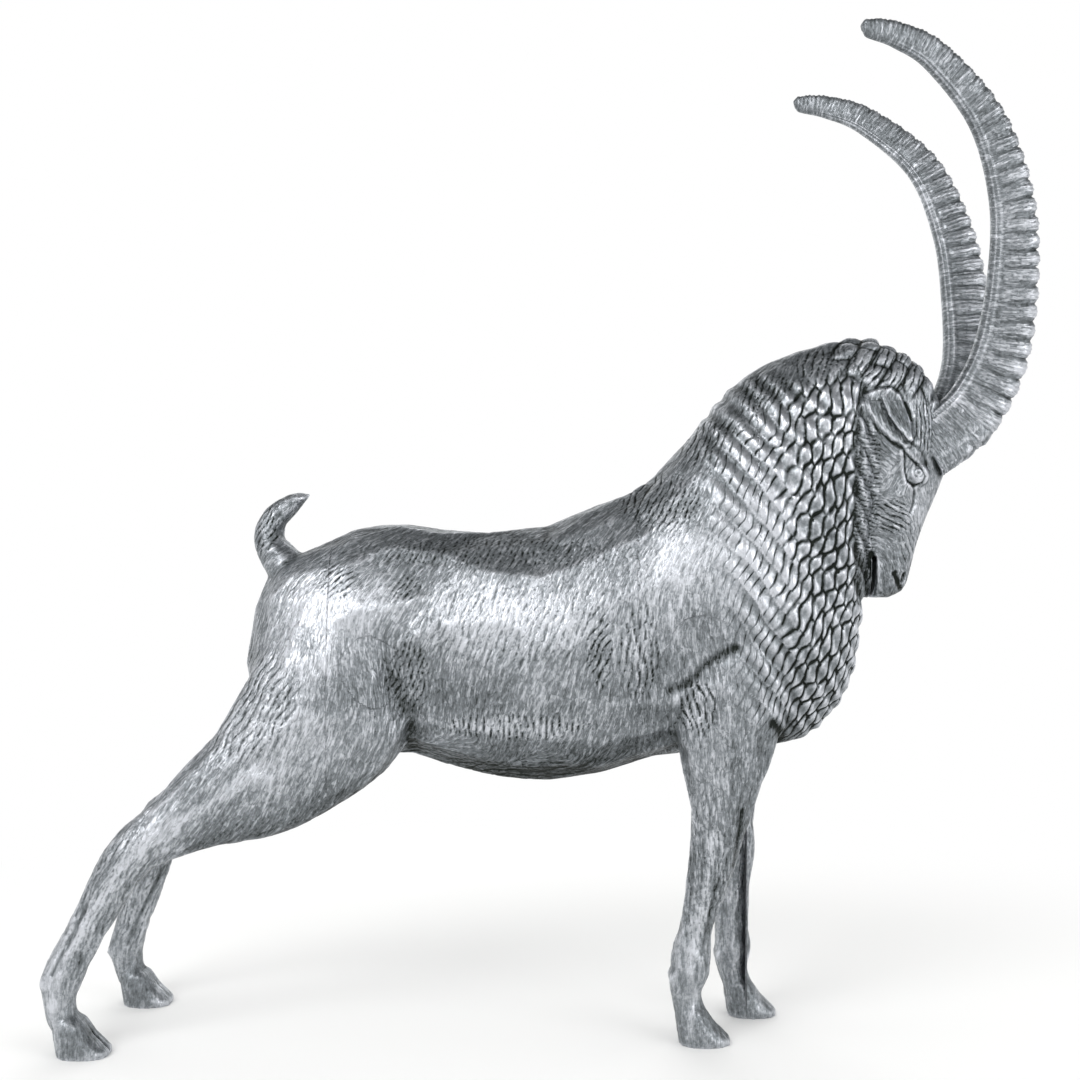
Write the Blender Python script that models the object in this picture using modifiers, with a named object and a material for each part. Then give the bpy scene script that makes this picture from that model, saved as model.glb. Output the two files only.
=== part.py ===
"""Ram figurine: a long-horned mountain ram in one cast-metal piece, standing on four cloven hooves.

Sizes are in millimetres and become metres where a mesh is made. +X is the way the ram faces, +Z is up,
and the soles stand on Z = 0. The soft forms are lofts that are fused and smoothed, then carved. The horns,
ears, eyes and hooves keep crisp edges and are joined on with Booleans.
"""

import bmesh
import bpy
import math
from mathutils import Matrix, Vector

MM = 0.001
PART = "ram_casting"

# Size of the whole casting, which every table below is stretched to
LENGTH = 430.4
WIDTH = 114.0
HEIGHT = 435.5

# Horns
HORN_RIDGE_PITCH = 8.6
HORN_RIDGE_HEIGHT = 1.5
HORN_RIDGE = (0.0, 1.0, 0.7)
HORN_RIDGE_SIDE = 0.4
HORN_RIDGE_WRAP = 0.35
HORN_TIP_FADE = 0.75
HORN_SIDES = 12
HORN_BACK_TAPER = 0.34
HORN_SQUARENESS = 2.7
HORN_ROOT_PLAIN = 0.1
HORN_TIP = (0.45, 0.93)
HEAD_TURN = math.radians(5.0)
HEAD_PIVOT_X = 150.0

# Hooves
HOOF_HEIGHT = 16.0
HOOF_HEEL = 6.5
HOOF_TOE = 16.0
HOOF_TOE_WIDTH = 9.0
HOOF_CLEFT = 1.6
HOOF_ROUNDNESS = 0.75
HOOF_POINTS = 9
# Hoof, sole to top: share of the height, then heel, toe and width as shares of theirs
HOOF_LEVELS = [
    (0.0, 1.0, 1.0, 1.0),
    (0.14, 1.05, 1.0, 1.03),
    (0.3, 1.1, 0.84, 1.02),
    (0.55, 1.2, 0.58, 0.97),
    (1.0, 1.3, 0.29, 0.84),
]
DEWCLAW_RADIUS = 3.4
DEWCLAW_BACK = 0.75
DEWCLAW_DROP = 3.0
DEWCLAW_SHAPE = (1.0, 0.85, 1.1)

# Head
EAR_LENGTH = 28.0
EAR_WIDTH = 19.0
EAR_THICKNESS = 2.6
EYE = (165.0, 14.0, 248.8)
EYE_RADIUS = 5.4
EYE_FLATNESS = 0.9
MOUTH_SLOT = 1.8
MOUTH_HEIGHT = 20.0
MOUTH_ACROSS = 60.0
MOUTH_X = 148.8
MOUTH_LOW = 192.5
NOSTRIL = (160.5, 10.5, 202.5)
NOSTRIL_RADIUS = 2.3
NOSTRIL_SHAPE = (0.65, 1.0, 1.3)

# Mane
MANE_ROW_PITCH = 13.4
MANE_ROW_DEPTH = 2.0
MANE_ROW_START = 70.0
MANE_ROW_BEND = 0.0062
MANE_ROW_SQUARENESS = 0.6
MANE_ROW_MIDDLE = 0.6
# Where the mane fades in or out: from and to, and how far the limit leans with z or x
MANE_REAR = (98.3, 124.3)
MANE_REAR_LEAN = 0.16
MANE_TOP = (294.0, 312.0)
MANE_TOP_LEAN = 0.1
MANE_LOW = (160.0, 182.0)
MANE_LOW_LEAN = 0.35
MANE_FACE = (146.0, 148.0)

# Curls over the poll, three abreast: x and z of each row, and where its outer two sit
POLL = [(142, 306.5), (149, 305.5), (157, 302), (165, 297.5), (171, 290.5), (175, 283)]
CURL_RADIUS = 4.6
CURL_SHAPE = (1.0, 1.15, 0.95)
CURL_APART = 8.6
CURL_BACK = 1.5
CURL_DROP = 3.4

# Surface
TRUNK_SIDES = 36
TRUNK_SQUARENESS = 2.25
HEAD_SIDES = 28
HEAD_SQUARENESS = 2.3
LEG_SIDES = 20
TAIL_SIDES = 16
VOXEL = 1.5
SMOOTH_PASSES = 5
FLESH_TRIANGLES = 6200
LEAST_DETAIL = 0.1
MORE_DETAIL = 0.75
DETAIL_BIAS = 0.35
LEG_DETAIL = 0.6
TAIL_DETAIL = 0.7
HEAD_BEYOND_X = (146, 150)
HEAD_ABOVE_Z = (187, 197)
LEG_BELOW_Z = (95, 130)
TAIL_BEHIND_X = (100, 108)
TAIL_ABOVE_Z = (203, 210)

# Trunk and neck, from tail to chest: top x, top z, bottom x, bottom z, half width
TRUNK = [
    (-123.4, 200.3, -131, 165.3, 9),
    (-113, 210.3, -126, 143.3, 22),
    (-99, 216.8, -105, 128.3, 29),
    (-81, 224.8, -81, 124.3, 32),
    (-62, 227.1, -58, 124.3, 32),
    (-42, 224.8, -40, 118.8, 32),
    (-20, 223.3, -18, 113.3, 34.5),
    (2, 225.8, 4, 111.8, 36),
    (24, 234.8, 27, 115.3, 36),
    (46, 244.3, 54, 123.3, 35),
    (67, 265.8, 86, 125.3, 34.5),
    (87, 289.3, 116.5, 130.4, 34.5),
    (105, 300.8, 136, 151.3, 33),
    (122, 307.3, 141.8, 179.3, 30.5),
    (137, 309.3, 143.5, 208.3, 26),
    (145, 304.3, 147, 237.3, 16),
]

# Head from poll to lip: z, back x, front x, half width
HEAD = [
    (308.3, 128, 149, 8),
    (302.3, 116, 164, 15),
    (293.3, 112, 173, 19),
    (283.3, 110, 178.5, 20),
    (271.3, 110, 182, 20.5),
    (259.3, 113, 183.2, 20.5),
    (248.3, 120, 181, 18.5),
    (237.3, 126, 176.5, 16.5),
    (226.3, 131, 171.8, 14.5),
    (215.3, 134, 168.3, 12.5),
    (204.3, 137, 165.3, 12),
    (197.3, 140, 162.5, 10.5),
    (193.8, 146, 156, 6),
]

# Tail, root to tip: x, y, z, half depth, half width
TAIL = [
    (-108, 0, 201.3, 11, 12),
    (-116, 0, 210.3, 8.5, 9.5),
    (-121.5, 0, 219.3, 7, 8),
    (-119.5, 0, 228.3, 6.2, 7),
    (-113, 0, 234.8, 5, 6),
    (-107.5, 0, 238.3, 3.4, 4.6),
    (-103.5, 0, 240.5, 1.2, 2),
]

# Legs, top to pastern: x, y, z, half depth, half width. y is from the middle plane outwards.
FORE_NEAR = [
    (90, 18, 187.3, 27, 12),
    (88, 20.5, 169.3, 27, 13),
    (84.5, 21.5, 149.3, 24.5, 12.5),
    (81.3, 21.6, 130.3, 21.4, 11.5),
    (80.2, 21.4, 115.3, 17.6, 10.5),
    (79.1, 21.2, 101.8, 13.9, 9.6),
    (76.8, 20.8, 88.8, 11.6, 8.8),
    (74.7, 20.5, 77.3, 10.4, 8.6),
    (71.7, 20.3, 64.3, 8.7, 7.4),
    (68.2, 20.2, 51.3, 7.5, 6.7),
    (66.2, 20.2, 40.3, 8.7, 7.2),
    (65.4, 20.2, 31.8, 9, 8),
    (63.6, 20.2, 23.3, 7.2, 7.4),
    (65, 20.2, 15.3, 6.8, 7.4),
    (67, 20.2, 9.3, 6.6, 7),
]
FORE_FAR = [
    (89.8, 18, 187.3, 27, 12),
    (89.3, 20.5, 169.3, 27, 13),
    (87.8, 21.5, 149.3, 24, 12.5),
    (87.2, 21.6, 130.3, 20.8, 11.5),
    (87.8, 21.4, 115.3, 17.6, 10.5),
    (88.3, 21.2, 101.8, 13.2, 9.6),
    (88.6, 20.8, 88.8, 10.4, 8.8),
    (89.2, 20.5, 76.3, 10.6, 8.6),
    (89.2, 20.3, 63.3, 8.6, 7.4),
    (89.1, 20.2, 50.3, 7.8, 6.7),
    (88.6, 20.2, 39.3, 8.2, 7.2),
    (89.3, 20.2, 30.8, 8.6, 8),
    (88.6, 20.2, 22.8, 7.7, 7.4),
    (90.8, 20.2, 15.3, 6.6, 7.4),
    (93, 20.2, 9.3, 6.4, 7),
]
HIND_NEAR = [
    (-84, 14, 189.3, 30, 14),
    (-86.5, 17, 167, 35.5, 18),
    (-91.5, 19.5, 147.8, 38, 18.5),
    (-105.2, 22, 131.8, 34, 17),
    (-122.4, 24.5, 116.4, 27.6, 14.5),
    (-143.6, 27, 104.9, 19.6, 11.8),
    (-158.8, 29, 95.3, 13.8, 9.6),
    (-170.6, 30.5, 88, 11.6, 8.8),
    (-178.4, 31.7, 79.8, 10.6, 8.5),
    (-185.1, 32.8, 68.3, 9.7, 7.8),
    (-191.3, 33.9, 56.3, 8.7, 7.1),
    (-197.6, 34.9, 44.3, 8.6, 7.2),
    (-202.4, 35.7, 34.1, 8.8, 8),
    (-204.2, 36, 24.8, 7.3, 7.4),
    (-203, 36, 16.3, 6.9, 7.4),
    (-198.4, 36, 9.8, 6.7, 7),
]
HIND_FAR = [
    (-84, 14, 189.3, 30, 14),
    (-86.5, 17, 167, 35.5, 18),
    (-91.5, 19.5, 147.8, 38, 18.5),
    (-106.1, 22, 131.8, 34, 17),
    (-124.5, 24.5, 116.8, 27, 14.5),
    (-146, 27, 105.3, 18.8, 11.8),
    (-162.4, 29, 95, 14, 9.6),
    (-175.2, 30.5, 87, 12.6, 8.8),
    (-181, 31.7, 77.3, 11.2, 8.5),
    (-184, 32.8, 65.3, 9.9, 7.8),
    (-187.4, 33.9, 52.3, 8.4, 7.1),
    (-191.8, 34.9, 39.3, 7.9, 7.2),
    (-195, 35.7, 28.3, 8, 8),
    (-194.8, 36, 20.3, 7.2, 7.4),
    (-193, 36, 13.3, 6.8, 7.4),
    (-189.5, 36, 8.8, 6.6, 7),
]
LEGS = {
    "fore_near": (FORE_NEAR, -1),
    "fore_far": (FORE_FAR, 1),
    "hind_near": (HIND_NEAR, -1),
    "hind_far": (HIND_FAR, 1),
}
FETLOCK_FROM_END = 4

# Horn, base to tip: x, y outwards, z, half depth in the plane of the curve, half width
HORN = [
    (170, 9.5, 259.3, 13.5, 9),
    (181, 10, 267.3, 13.4, 9),
    (192.5, 12.5, 280.3, 12.8, 8.8),
    (200.6, 19, 302.3, 12, 8.2),
    (202.3, 28, 332.3, 10.7, 7.3),
    (199.2, 35, 365.6, 9.2, 6.4),
    (186.4, 40.5, 398.3, 7.6, 5.4),
    (161.8, 48.5, 421.8, 6.2, 4.5),
    (143.8, 52.5, 429.4, 5.2, 4),
    (131, 54.6, 431.3, 3.8, 3.2),
    (128, 55, 431.3, 1.6, 1.4),
]

# Ear: where its root is, which way it hangs and is wide, and its half width as a share along it
EAR_ROOT = (154.5, 15.5, 289.3)
EAR_AIM = (0.2, 0.26, -1.0)
EAR_WIDE = (1.0, -0.45, 0.12)
EAR_SHAPE = [(0, 0.7), (0.2, 0.98), (0.45, 1.0), (0.7, 0.72), (0.9, 0.34), (1.0, 0.1)]

# Carved hollows and swells: x, y outwards, z, radius, depth (below zero is a hollow).
# None is worked out further away than its radius times the root of this.
TOUCH_REACH = 6.0
TOUCHES = [
    (166, 19, 249.3, 8, -2.2),
    (163, 20, 259.3, 8, 1.6),
    (156, 17, 240.3, 12, 1.4),
    (166, 14, 237.3, 6, -1.2),
    (158, 12, 203.3, 7, 1.2),
    (63, 33, 167.3, 14, -2.5),
    (84, 31, 155.3, 16, 2.0),
    (100, 33, 175.3, 22, 1.5),
    (-46, 30, 155.3, 20, -3.0),
    (-86, 31, 187.3, 26, 2.0),
    (-20, 34, 183.3, 30, 1.2),
    (-60, 31, 202.3, 18, -1.4),
]


def clear_scene():
    for obj in list(bpy.data.objects):
        bpy.data.objects.remove(obj, do_unlink=True)


def collection(name):
    made = bpy.data.collections.new(name)
    bpy.context.scene.collection.children.link(made)
    return made


def metal(name, colour, roughness):
    """Aged cast metal: bright and satin, with grey in the hollows."""
    made = bpy.data.materials.new(name)
    made.use_nodes = True
    shader = made.node_tree.nodes["Principled BSDF"]
    shader.inputs["Base Color"].default_value = (*colour, 1.0)
    shader.inputs["Metallic"].default_value = 1.0
    shader.inputs["Roughness"].default_value = roughness
    return made


def new_object(name, mesh, home):
    made = bpy.data.objects.new(name, mesh)
    home.objects.link(made)
    return made


def helper(obj):
    """Marks a shape that is joined to the casting or cut from it, so that it is no part of its own."""
    obj.hide_render = True
    obj.display_type = "WIRE"
    return obj


def spline(rows, steps):
    """Rows of numbers along a smooth curve through the given rows, with this many steps a span."""
    found = []
    last = len(rows) - 1
    for i in range(last):
        before, start, end, after = (rows[max(0, min(last, i + k))] for k in (-1, 0, 1, 2))
        for step in range(steps):
            t = step / steps
            found.append(
                tuple(
                    0.5 * (2 * b + (c - a) * t + (2 * a - 5 * b + 4 * c - d) * t**2
                           + (3 * b - a - 3 * c + d) * t**3)
                    for a, b, c, d in zip(before, start, end, after)
                )
            )
    found.append(tuple(rows[-1]))
    return found


def round_ring(centre, up, side, sides, squareness=2.0):
    """Points of an ellipse, or of a squarer oval, round a centre."""
    power = 2.0 / squareness
    ring = []
    for i in range(sides):
        angle = 2 * math.pi * i / sides
        along = math.copysign(abs(math.cos(angle)) ** power, math.cos(angle))
        across = math.copysign(abs(math.sin(angle)) ** power, math.sin(angle))
        ring.append(centre + up * along + side * across)
    return ring


def loft(rings):
    """A closed mesh through rings of equal count, with a flat cap on each end, in metres."""
    mesh = bmesh.new()
    loops = [[mesh.verts.new(point * MM) for point in ring] for ring in rings]
    for first, second in zip(loops, loops[1:]):
        for i in range(len(first)):
            j = (i + 1) % len(first)
            mesh.faces.new((first[i], first[j], second[j], second[i]))
    mesh.faces.new(loops[0])
    mesh.faces.new(loops[-1])
    bmesh.ops.recalc_face_normals(mesh, faces=mesh.faces)
    return mesh


def to_object(mesh, name, home):
    data = bpy.data.meshes.new(name)
    mesh.to_mesh(data)
    mesh.free()
    return new_object(name, data, home)


def trunk_rings():
    rings = []
    for top_x, top_z, low_x, low_z, half in spline(TRUNK, 3):
        top = Vector((top_x, 0, top_z))
        low = Vector((low_x, 0, low_z))
        middle, up = (top + low) / 2, (top - low) / 2
        rings.append(round_ring(middle, up, Vector((0, half, 0)), TRUNK_SIDES, TRUNK_SQUARENESS))
    return rings


def turned(point):
    """The point after the head's slight turn to its left, about an upright axis at the poll."""
    turn = Matrix.Rotation(HEAD_TURN, 3, "Z")
    pivot = Vector((HEAD_PIVOT_X, 0, 0))
    return turn @ (point - pivot) + pivot


def head_rings():
    rings = []
    for z, back, front, half in spline(HEAD, 3):
        centre = Vector(((back + front) / 2, 0, z))
        ahead = Vector(((front - back) / 2, 0, 0))
        ring = round_ring(centre, ahead, Vector((0, half, 0)), HEAD_SIDES, HEAD_SQUARENESS)
        rings.append([turned(point) for point in ring])
    return rings


def path_frames(rows):
    """For each row that starts with x, y, z: the row, its centre, and the way the path runs there."""
    centres = [Vector(row[:3]) for row in rows]
    for i, row in enumerate(rows):
        ahead = centres[min(i + 1, len(rows) - 1)]
        behind = centres[max(i - 1, 0)]
        yield row, centres[i], (ahead - behind).normalized()


def tube_rings(rows, sides):
    """Rings square to a path, deep in the X-Z plane and wide along Y."""
    rings = []
    for row, centre, along in path_frames(rows):
        side = Vector((0, 1, 0))
        side = (side - along * side.dot(along)).normalized()
        deep = side.cross(along)
        rings.append(round_ring(centre, deep * row[3], side * row[4], sides))
    return rings


def leg_rows(rows, outwards):
    return [(x, outwards * y, z, deep, wide) for x, y, z, deep, wide in rows]


def add_ball(mesh, centre, radii):
    """A ball of unlike radii, added to a mesh that is fused later."""
    place = Matrix.Translation(Vector(centre) * MM) @ Matrix.Diagonal((*(Vector(radii) * MM), 1.0))
    bmesh.ops.create_icosphere(mesh, subdivisions=3, radius=1.0, matrix=place)


def add_curls(mesh):
    """Lumps of curly hair over the poll, between the mane and the horns."""
    for x, z in POLL:
        for k in (-1, 0, 1):
            centre = turned(Vector((x - CURL_BACK * abs(k), CURL_APART * k, z - CURL_DROP * abs(k))))
            add_ball(mesh, centre, [CURL_RADIUS * share for share in CURL_SHAPE])


def add_dewclaws(mesh, rows, outwards):
    x, y, z, deep, wide = rows[-FETLOCK_FROM_END]
    for side in (-1, 1):
        centre = (x - deep * DEWCLAW_BACK, outwards * y + side * wide / 2, z - DEWCLAW_DROP)
        add_ball(mesh, centre, [DEWCLAW_RADIUS * share for share in DEWCLAW_SHAPE])


def flesh(home):
    """Trunk, head, tail and legs as one fused and smoothed mesh."""
    lofts = [loft(trunk_rings()), loft(head_rings()), loft(tube_rings(spline(TAIL, 4), TAIL_SIDES))]
    for rows, outwards in LEGS.values():
        lofts.append(loft(tube_rings(spline(leg_rows(rows, outwards), 3), LEG_SIDES)))
    whole = bmesh.new()
    for part in lofts:
        data = bpy.data.meshes.new("loft")
        part.to_mesh(data)
        part.free()
        whole.from_mesh(data)
        bpy.data.meshes.remove(data)
    add_curls(whole)
    for rows, outwards in LEGS.values():
        add_dewclaws(whole, rows, outwards)
    obj = to_object(whole, PART, home)
    fuse = obj.modifiers.new("fuse", "REMESH")
    fuse.mode = "VOXEL"
    fuse.voxel_size = VOXEL * MM
    soften = obj.modifiers.new("soften", "SMOOTH")
    soften.factor = 0.5
    soften.iterations = SMOOTH_PASSES
    return applied(obj)


def applied(obj):
    """The object with its modifiers made part of its mesh."""
    graph = bpy.context.evaluated_depsgraph_get()
    data = bpy.data.meshes.new_from_object(obj.evaluated_get(graph))
    obj.modifiers.clear()
    old = obj.data
    obj.data = data
    bpy.data.meshes.remove(old)
    return obj


def ease(low, high, value):
    """0 below low, 1 above high, and a smooth step between."""
    t = min(1.0, max(0.0, (value - low) / (high - low)))
    return t * t * (3 - 2 * t)


def mane_share(x, z):
    """How strongly the mane's rows are carved at a point of the neck or chest."""
    rear = ease(*MANE_REAR, x + MANE_REAR_LEAN * z)
    crest = 1 - ease(*MANE_TOP, z + MANE_TOP_LEAN * x)
    chest = ease(*MANE_LOW, z + MANE_LOW_LEAN * x)
    face = 1 - ease(*MANE_FACE, x)
    return rear * crest * chest * face


def mane_row(x, z):
    """Height of the mane's rows, 0 in a groove and 1 on a crest. They run down and forwards."""
    forward = x - MANE_ROW_START
    row = (z + forward + MANE_ROW_BEND * forward * forward) / MANE_ROW_PITCH
    return abs(math.sin(math.pi * row)) ** MANE_ROW_SQUARENESS


def carve(obj):
    """Moves the surface in or out: the mane's rows, then the hollows and swells."""
    mesh = obj.data
    weights = obj.vertex_groups.new(name="detail")
    outwards = [vertex.normal.copy() for vertex in mesh.vertices]
    for vertex, outward in zip(mesh.vertices, outwards):
        x, y, z = vertex.co / MM
        share = mane_share(x, z)
        lift = share * (mane_row(x, z) - MANE_ROW_MIDDLE) * MANE_ROW_DEPTH
        side = -1 if y < 0 else 1
        for tx, ty, tz, radius, depth in TOUCHES:
            away = (x - tx) ** 2 + (y - side * ty) ** 2 + (z - tz) ** 2
            if away < TOUCH_REACH * radius * radius:
                lift += depth * math.exp(-away / (radius * radius))
        vertex.co += outward * lift * MM
        head = ease(*HEAD_BEYOND_X, x) * ease(*HEAD_ABOVE_Z, z)
        leg = LEG_DETAIL * (1 - ease(*LEG_BELOW_Z, z))
        tail = TAIL_DETAIL * ease(*TAIL_BEHIND_X, -x) * ease(*TAIL_ABOVE_Z, z)
        weights.add([vertex.index], LEAST_DETAIL + MORE_DETAIL * max(share, head, leg, tail), "REPLACE")


def reduce(obj, triangles):
    """Fewer faces, with most of them kept where the carving is."""
    mesh = obj.data
    mesh.calc_loop_triangles()
    fewer = obj.modifiers.new("fewer", "DECIMATE")
    fewer.ratio = triangles / len(mesh.loop_triangles)
    fewer.vertex_group = "detail"
    fewer.invert_vertex_group = True
    fewer.vertex_group_factor = DETAIL_BIAS
    fewer.use_collapse_triangulate = True
    return applied(obj)


def horn_rings(outwards):
    """Rings along the horn. Ridges stand on the front, and the back is a plain narrow band."""
    rows = spline([(x, outwards * y, z, deep, wide) for x, y, z, deep, wide in HORN], 24)
    lengths = [0.0]
    for first, second in zip(rows, rows[1:]):
        lengths.append(lengths[-1] + (Vector(second[:3]) - Vector(first[:3])).length)
    total = lengths[-1]
    count = int(total / HORN_RIDGE_PITCH) * len(HORN_RIDGE)
    picked = []
    for i in range(count + 1):
        target = total * i / count
        at = min(k for k, length in enumerate(lengths) if length >= target - 1e-9)
        picked.append(rows[at])
    power = 2.0 / HORN_SQUARENESS
    rings = []
    for i, (row, centre, along) in enumerate(path_frames(picked)):
        side = Vector((0, 1, 0))
        side = (side - along * side.dot(along)).normalized()
        front = side.cross(along)
        share = i / count
        fade = ease(0.0, HORN_ROOT_PLAIN, share) * (1 - HORN_TIP_FADE * ease(*HORN_TIP, share))
        rise = HORN_RIDGE_HEIGHT * HORN_RIDGE[i % len(HORN_RIDGE)] * fade
        ring = []
        for k in range(HORN_SIDES):
            angle = 2 * math.pi * (k + 0.5) / HORN_SIDES
            forward = math.copysign(abs(math.cos(angle)) ** power, math.cos(angle))
            across = math.copysign(abs(math.sin(angle)) ** power, math.sin(angle))
            narrow = 1 - HORN_BACK_TAPER * (1 - forward) / 2
            ridge = rise * max(0.0, forward + HORN_RIDGE_WRAP) / (1 + HORN_RIDGE_WRAP)
            deep = front * (row[3] * forward + ridge)
            half = row[4] * narrow + ridge * HORN_RIDGE_SIDE
            ring.append(turned(centre + deep + side * across * half))
        rings.append(ring)
    return rings


def ear_rings(outwards):
    """A drooping leaf that stands off the head at its back edge."""
    mirror = Vector((1, outwards, 1))
    aim = (Vector(EAR_AIM) * mirror).normalized()
    root = Vector(EAR_ROOT) * mirror
    wide = (Vector(EAR_WIDE) * mirror).normalized()
    thick = wide.cross(aim).normalized()
    rings = []
    for share, width in spline(EAR_SHAPE, 2):
        centre = root + aim * EAR_LENGTH * share
        half = EAR_WIDTH / 2 * width
        thin = EAR_THICKNESS / 2 * (1 - share / 2)
        rings.append([turned(p) for p in round_ring(centre, wide * half, thick * thin, 10)])
    return rings


def toe(rows, outwards, side):
    """One half of a cloven hoof: a flat sole, a sloping front wall and a straight inner wall."""
    x = rows[-1][0]
    y = outwards * rows[-1][1]
    inner = HOOF_CLEFT / 2
    rings = []
    for level, heel, tip, width in HOOF_LEVELS:
        middle = (HOOF_TOE * tip - HOOF_HEEL * heel) / 2
        half = (HOOF_TOE * tip + HOOF_HEEL * heel) / 2
        ring = []
        for i in range(HOOF_POINTS):
            angle = math.pi * i / (HOOF_POINTS - 1)
            out = inner + HOOF_TOE_WIDTH * width * math.sin(angle) ** HOOF_ROUNDNESS
            ring.append(Vector((x + middle + half * math.cos(angle), y + side * out, HOOF_HEIGHT * level)))
        rings.append(ring)
    return rings


def slot(name, centre, size, home):
    """A block that is cut out of the casting."""
    mesh = bmesh.new()
    place = Matrix.Translation(turned(Vector(centre)) * MM)
    turn = Matrix.Rotation(HEAD_TURN, 4, "Z")
    bmesh.ops.create_cube(mesh, size=1.0, matrix=place @ turn @ Matrix.Diagonal((*(Vector(size) * MM), 1.0)))
    return helper(to_object(mesh, name, home))


def ball(name, centre, radii, home, segments=12):
    mesh = bmesh.new()
    place = Matrix.Translation(turned(Vector(centre)) * MM) @ Matrix.Diagonal((*(Vector(radii) * MM), 1.0))
    bmesh.ops.create_uvsphere(mesh, u_segments=segments, v_segments=segments * 2 // 3, radius=1.0, matrix=place)
    return helper(to_object(mesh, name, home))


def boolean(obj, name, operation, operand):
    made = obj.modifiers.new(name, "BOOLEAN")
    made.operation = operation
    made.operand_type = "COLLECTION"
    made.collection = operand
    # This solver keeps each edge between two faces; the exact one leaves edges that three faces share
    made.solver = "MANIFOLD"


def add_horns(home):
    for side_name, outwards in (("near", -1), ("far", 1)):
        helper(to_object(loft(horn_rings(outwards)), f"horn_{side_name}", home))


def add_ears_and_eyes(home):
    for side_name, outwards in (("near", -1), ("far", 1)):
        helper(to_object(loft(ear_rings(outwards)), f"ear_{side_name}", home))
        eye = (EYE[0], outwards * EYE[1], EYE[2])
        ball(f"eye_{side_name}", eye, (EYE_RADIUS, EYE_RADIUS * EYE_FLATNESS, EYE_RADIUS), home)


def add_hooves(home):
    for leg, (rows, outwards) in LEGS.items():
        for toe_name, side in (("left", 1), ("right", -1)):
            helper(to_object(loft(toe(rows, outwards, side)), f"hoof_{leg}_{toe_name}", home))


def cut_mouth_and_nostrils(home):
    middle = (MOUTH_X, 0, MOUTH_LOW + MOUTH_HEIGHT / 2)
    slot("mouth", middle, (MOUTH_SLOT, MOUTH_ACROSS, MOUTH_HEIGHT), home)
    for side_name, outwards in (("near", -1), ("far", 1)):
        centre = (NOSTRIL[0], outwards * NOSTRIL[1], NOSTRIL[2])
        ball(f"nostril_{side_name}", centre, [NOSTRIL_RADIUS * share for share in NOSTRIL_SHAPE], home, 9)


def fit_to_size(objects):
    """Gives the casting its stated size, with the middle of its footprint on the origin."""
    corners = [v.co for v in evaluated_mesh(objects[0]).vertices]
    low = Vector([min(c[axis] for c in corners) for axis in range(3)])
    high = Vector([max(c[axis] for c in corners) for axis in range(3)])
    stretch = [size * MM / (high[axis] - low[axis]) for axis, size in enumerate((LENGTH, WIDTH, HEIGHT))]
    foot = Vector(((low.x + high.x) / 2, (low.y + high.y) / 2, low.z))
    place = Matrix.Diagonal((*stretch, 1.0)) @ Matrix.Translation(-foot)
    for obj in objects:
        obj.data.transform(place)


def evaluated_mesh(obj):
    graph = bpy.context.evaluated_depsgraph_get()
    return obj.evaluated_get(graph).data


def build():
    clear_scene()
    parts = collection("ram_figurine")
    joined = collection("joined_shapes")
    cutters = collection("cutters")
    body = flesh(parts)
    carve(body)
    body = reduce(body, FLESH_TRIANGLES)
    add_horns(joined)
    add_ears_and_eyes(joined)
    add_hooves(joined)
    cut_mouth_and_nostrils(cutters)
    boolean(body, "join", "UNION", joined)
    boolean(body, "cut", "DIFFERENCE", cutters)
    body.data.materials.clear()
    body.data.materials.append(metal("aged_cast_silver", (0.62, 0.64, 0.65), 0.34))
    body.data.shade_smooth()
    fit_to_size([body, *joined.objects, *cutters.objects])


build()
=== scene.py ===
"""Looks for a cast ram figurine: carved coat, mane and head, ridged horns, aged metal and a pale studio."""

import math

import bmesh
import bpy
import numpy as np
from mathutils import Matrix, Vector, kdtree


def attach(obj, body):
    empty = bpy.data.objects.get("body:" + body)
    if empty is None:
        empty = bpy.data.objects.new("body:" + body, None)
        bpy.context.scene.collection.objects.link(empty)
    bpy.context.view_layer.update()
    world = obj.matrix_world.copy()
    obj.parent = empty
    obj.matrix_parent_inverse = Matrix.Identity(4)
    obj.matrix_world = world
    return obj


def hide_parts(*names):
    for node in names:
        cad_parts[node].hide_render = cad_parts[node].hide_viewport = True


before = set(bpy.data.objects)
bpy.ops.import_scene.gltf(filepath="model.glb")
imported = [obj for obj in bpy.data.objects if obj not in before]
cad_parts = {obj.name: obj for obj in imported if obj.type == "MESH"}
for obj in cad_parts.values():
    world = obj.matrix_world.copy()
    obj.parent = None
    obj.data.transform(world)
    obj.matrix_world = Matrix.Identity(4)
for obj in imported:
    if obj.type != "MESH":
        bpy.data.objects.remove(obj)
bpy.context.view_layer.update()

bl_info = {
    "name": "Ram figurine finish",
    "version": (1, 0, 0),
    "blender": (4, 5, 0),
    "location": "View3D > Sidebar > Ram figurine",
    "description": "Carves the coat, mane, head and horns of a cast ram figurine and ages its metal",
    "category": "Object",
}

MM = 0.001
GOLDEN = 0.618034
CASTING = "ram_casting"
METAL = "Darkened and buffed cast metal"

# The head was laid out facing straight ahead and turned a little; this takes its points to the frame, in mm
HEAD_TURN = math.radians(5)
HEAD_PIVOT = np.array([150, 0])
SHIFT = np.array([2.573, -1.5705, 0])
STRETCH = np.array([1.0045, 0.9954, 0.99984])

# Where the horns leave the head: a point of the cut and the way out of it
HORN_CUT_POINT = (179.2, 0, 290)
HORN_CUT_OUT = (0.75, 0, 0.66)

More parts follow.
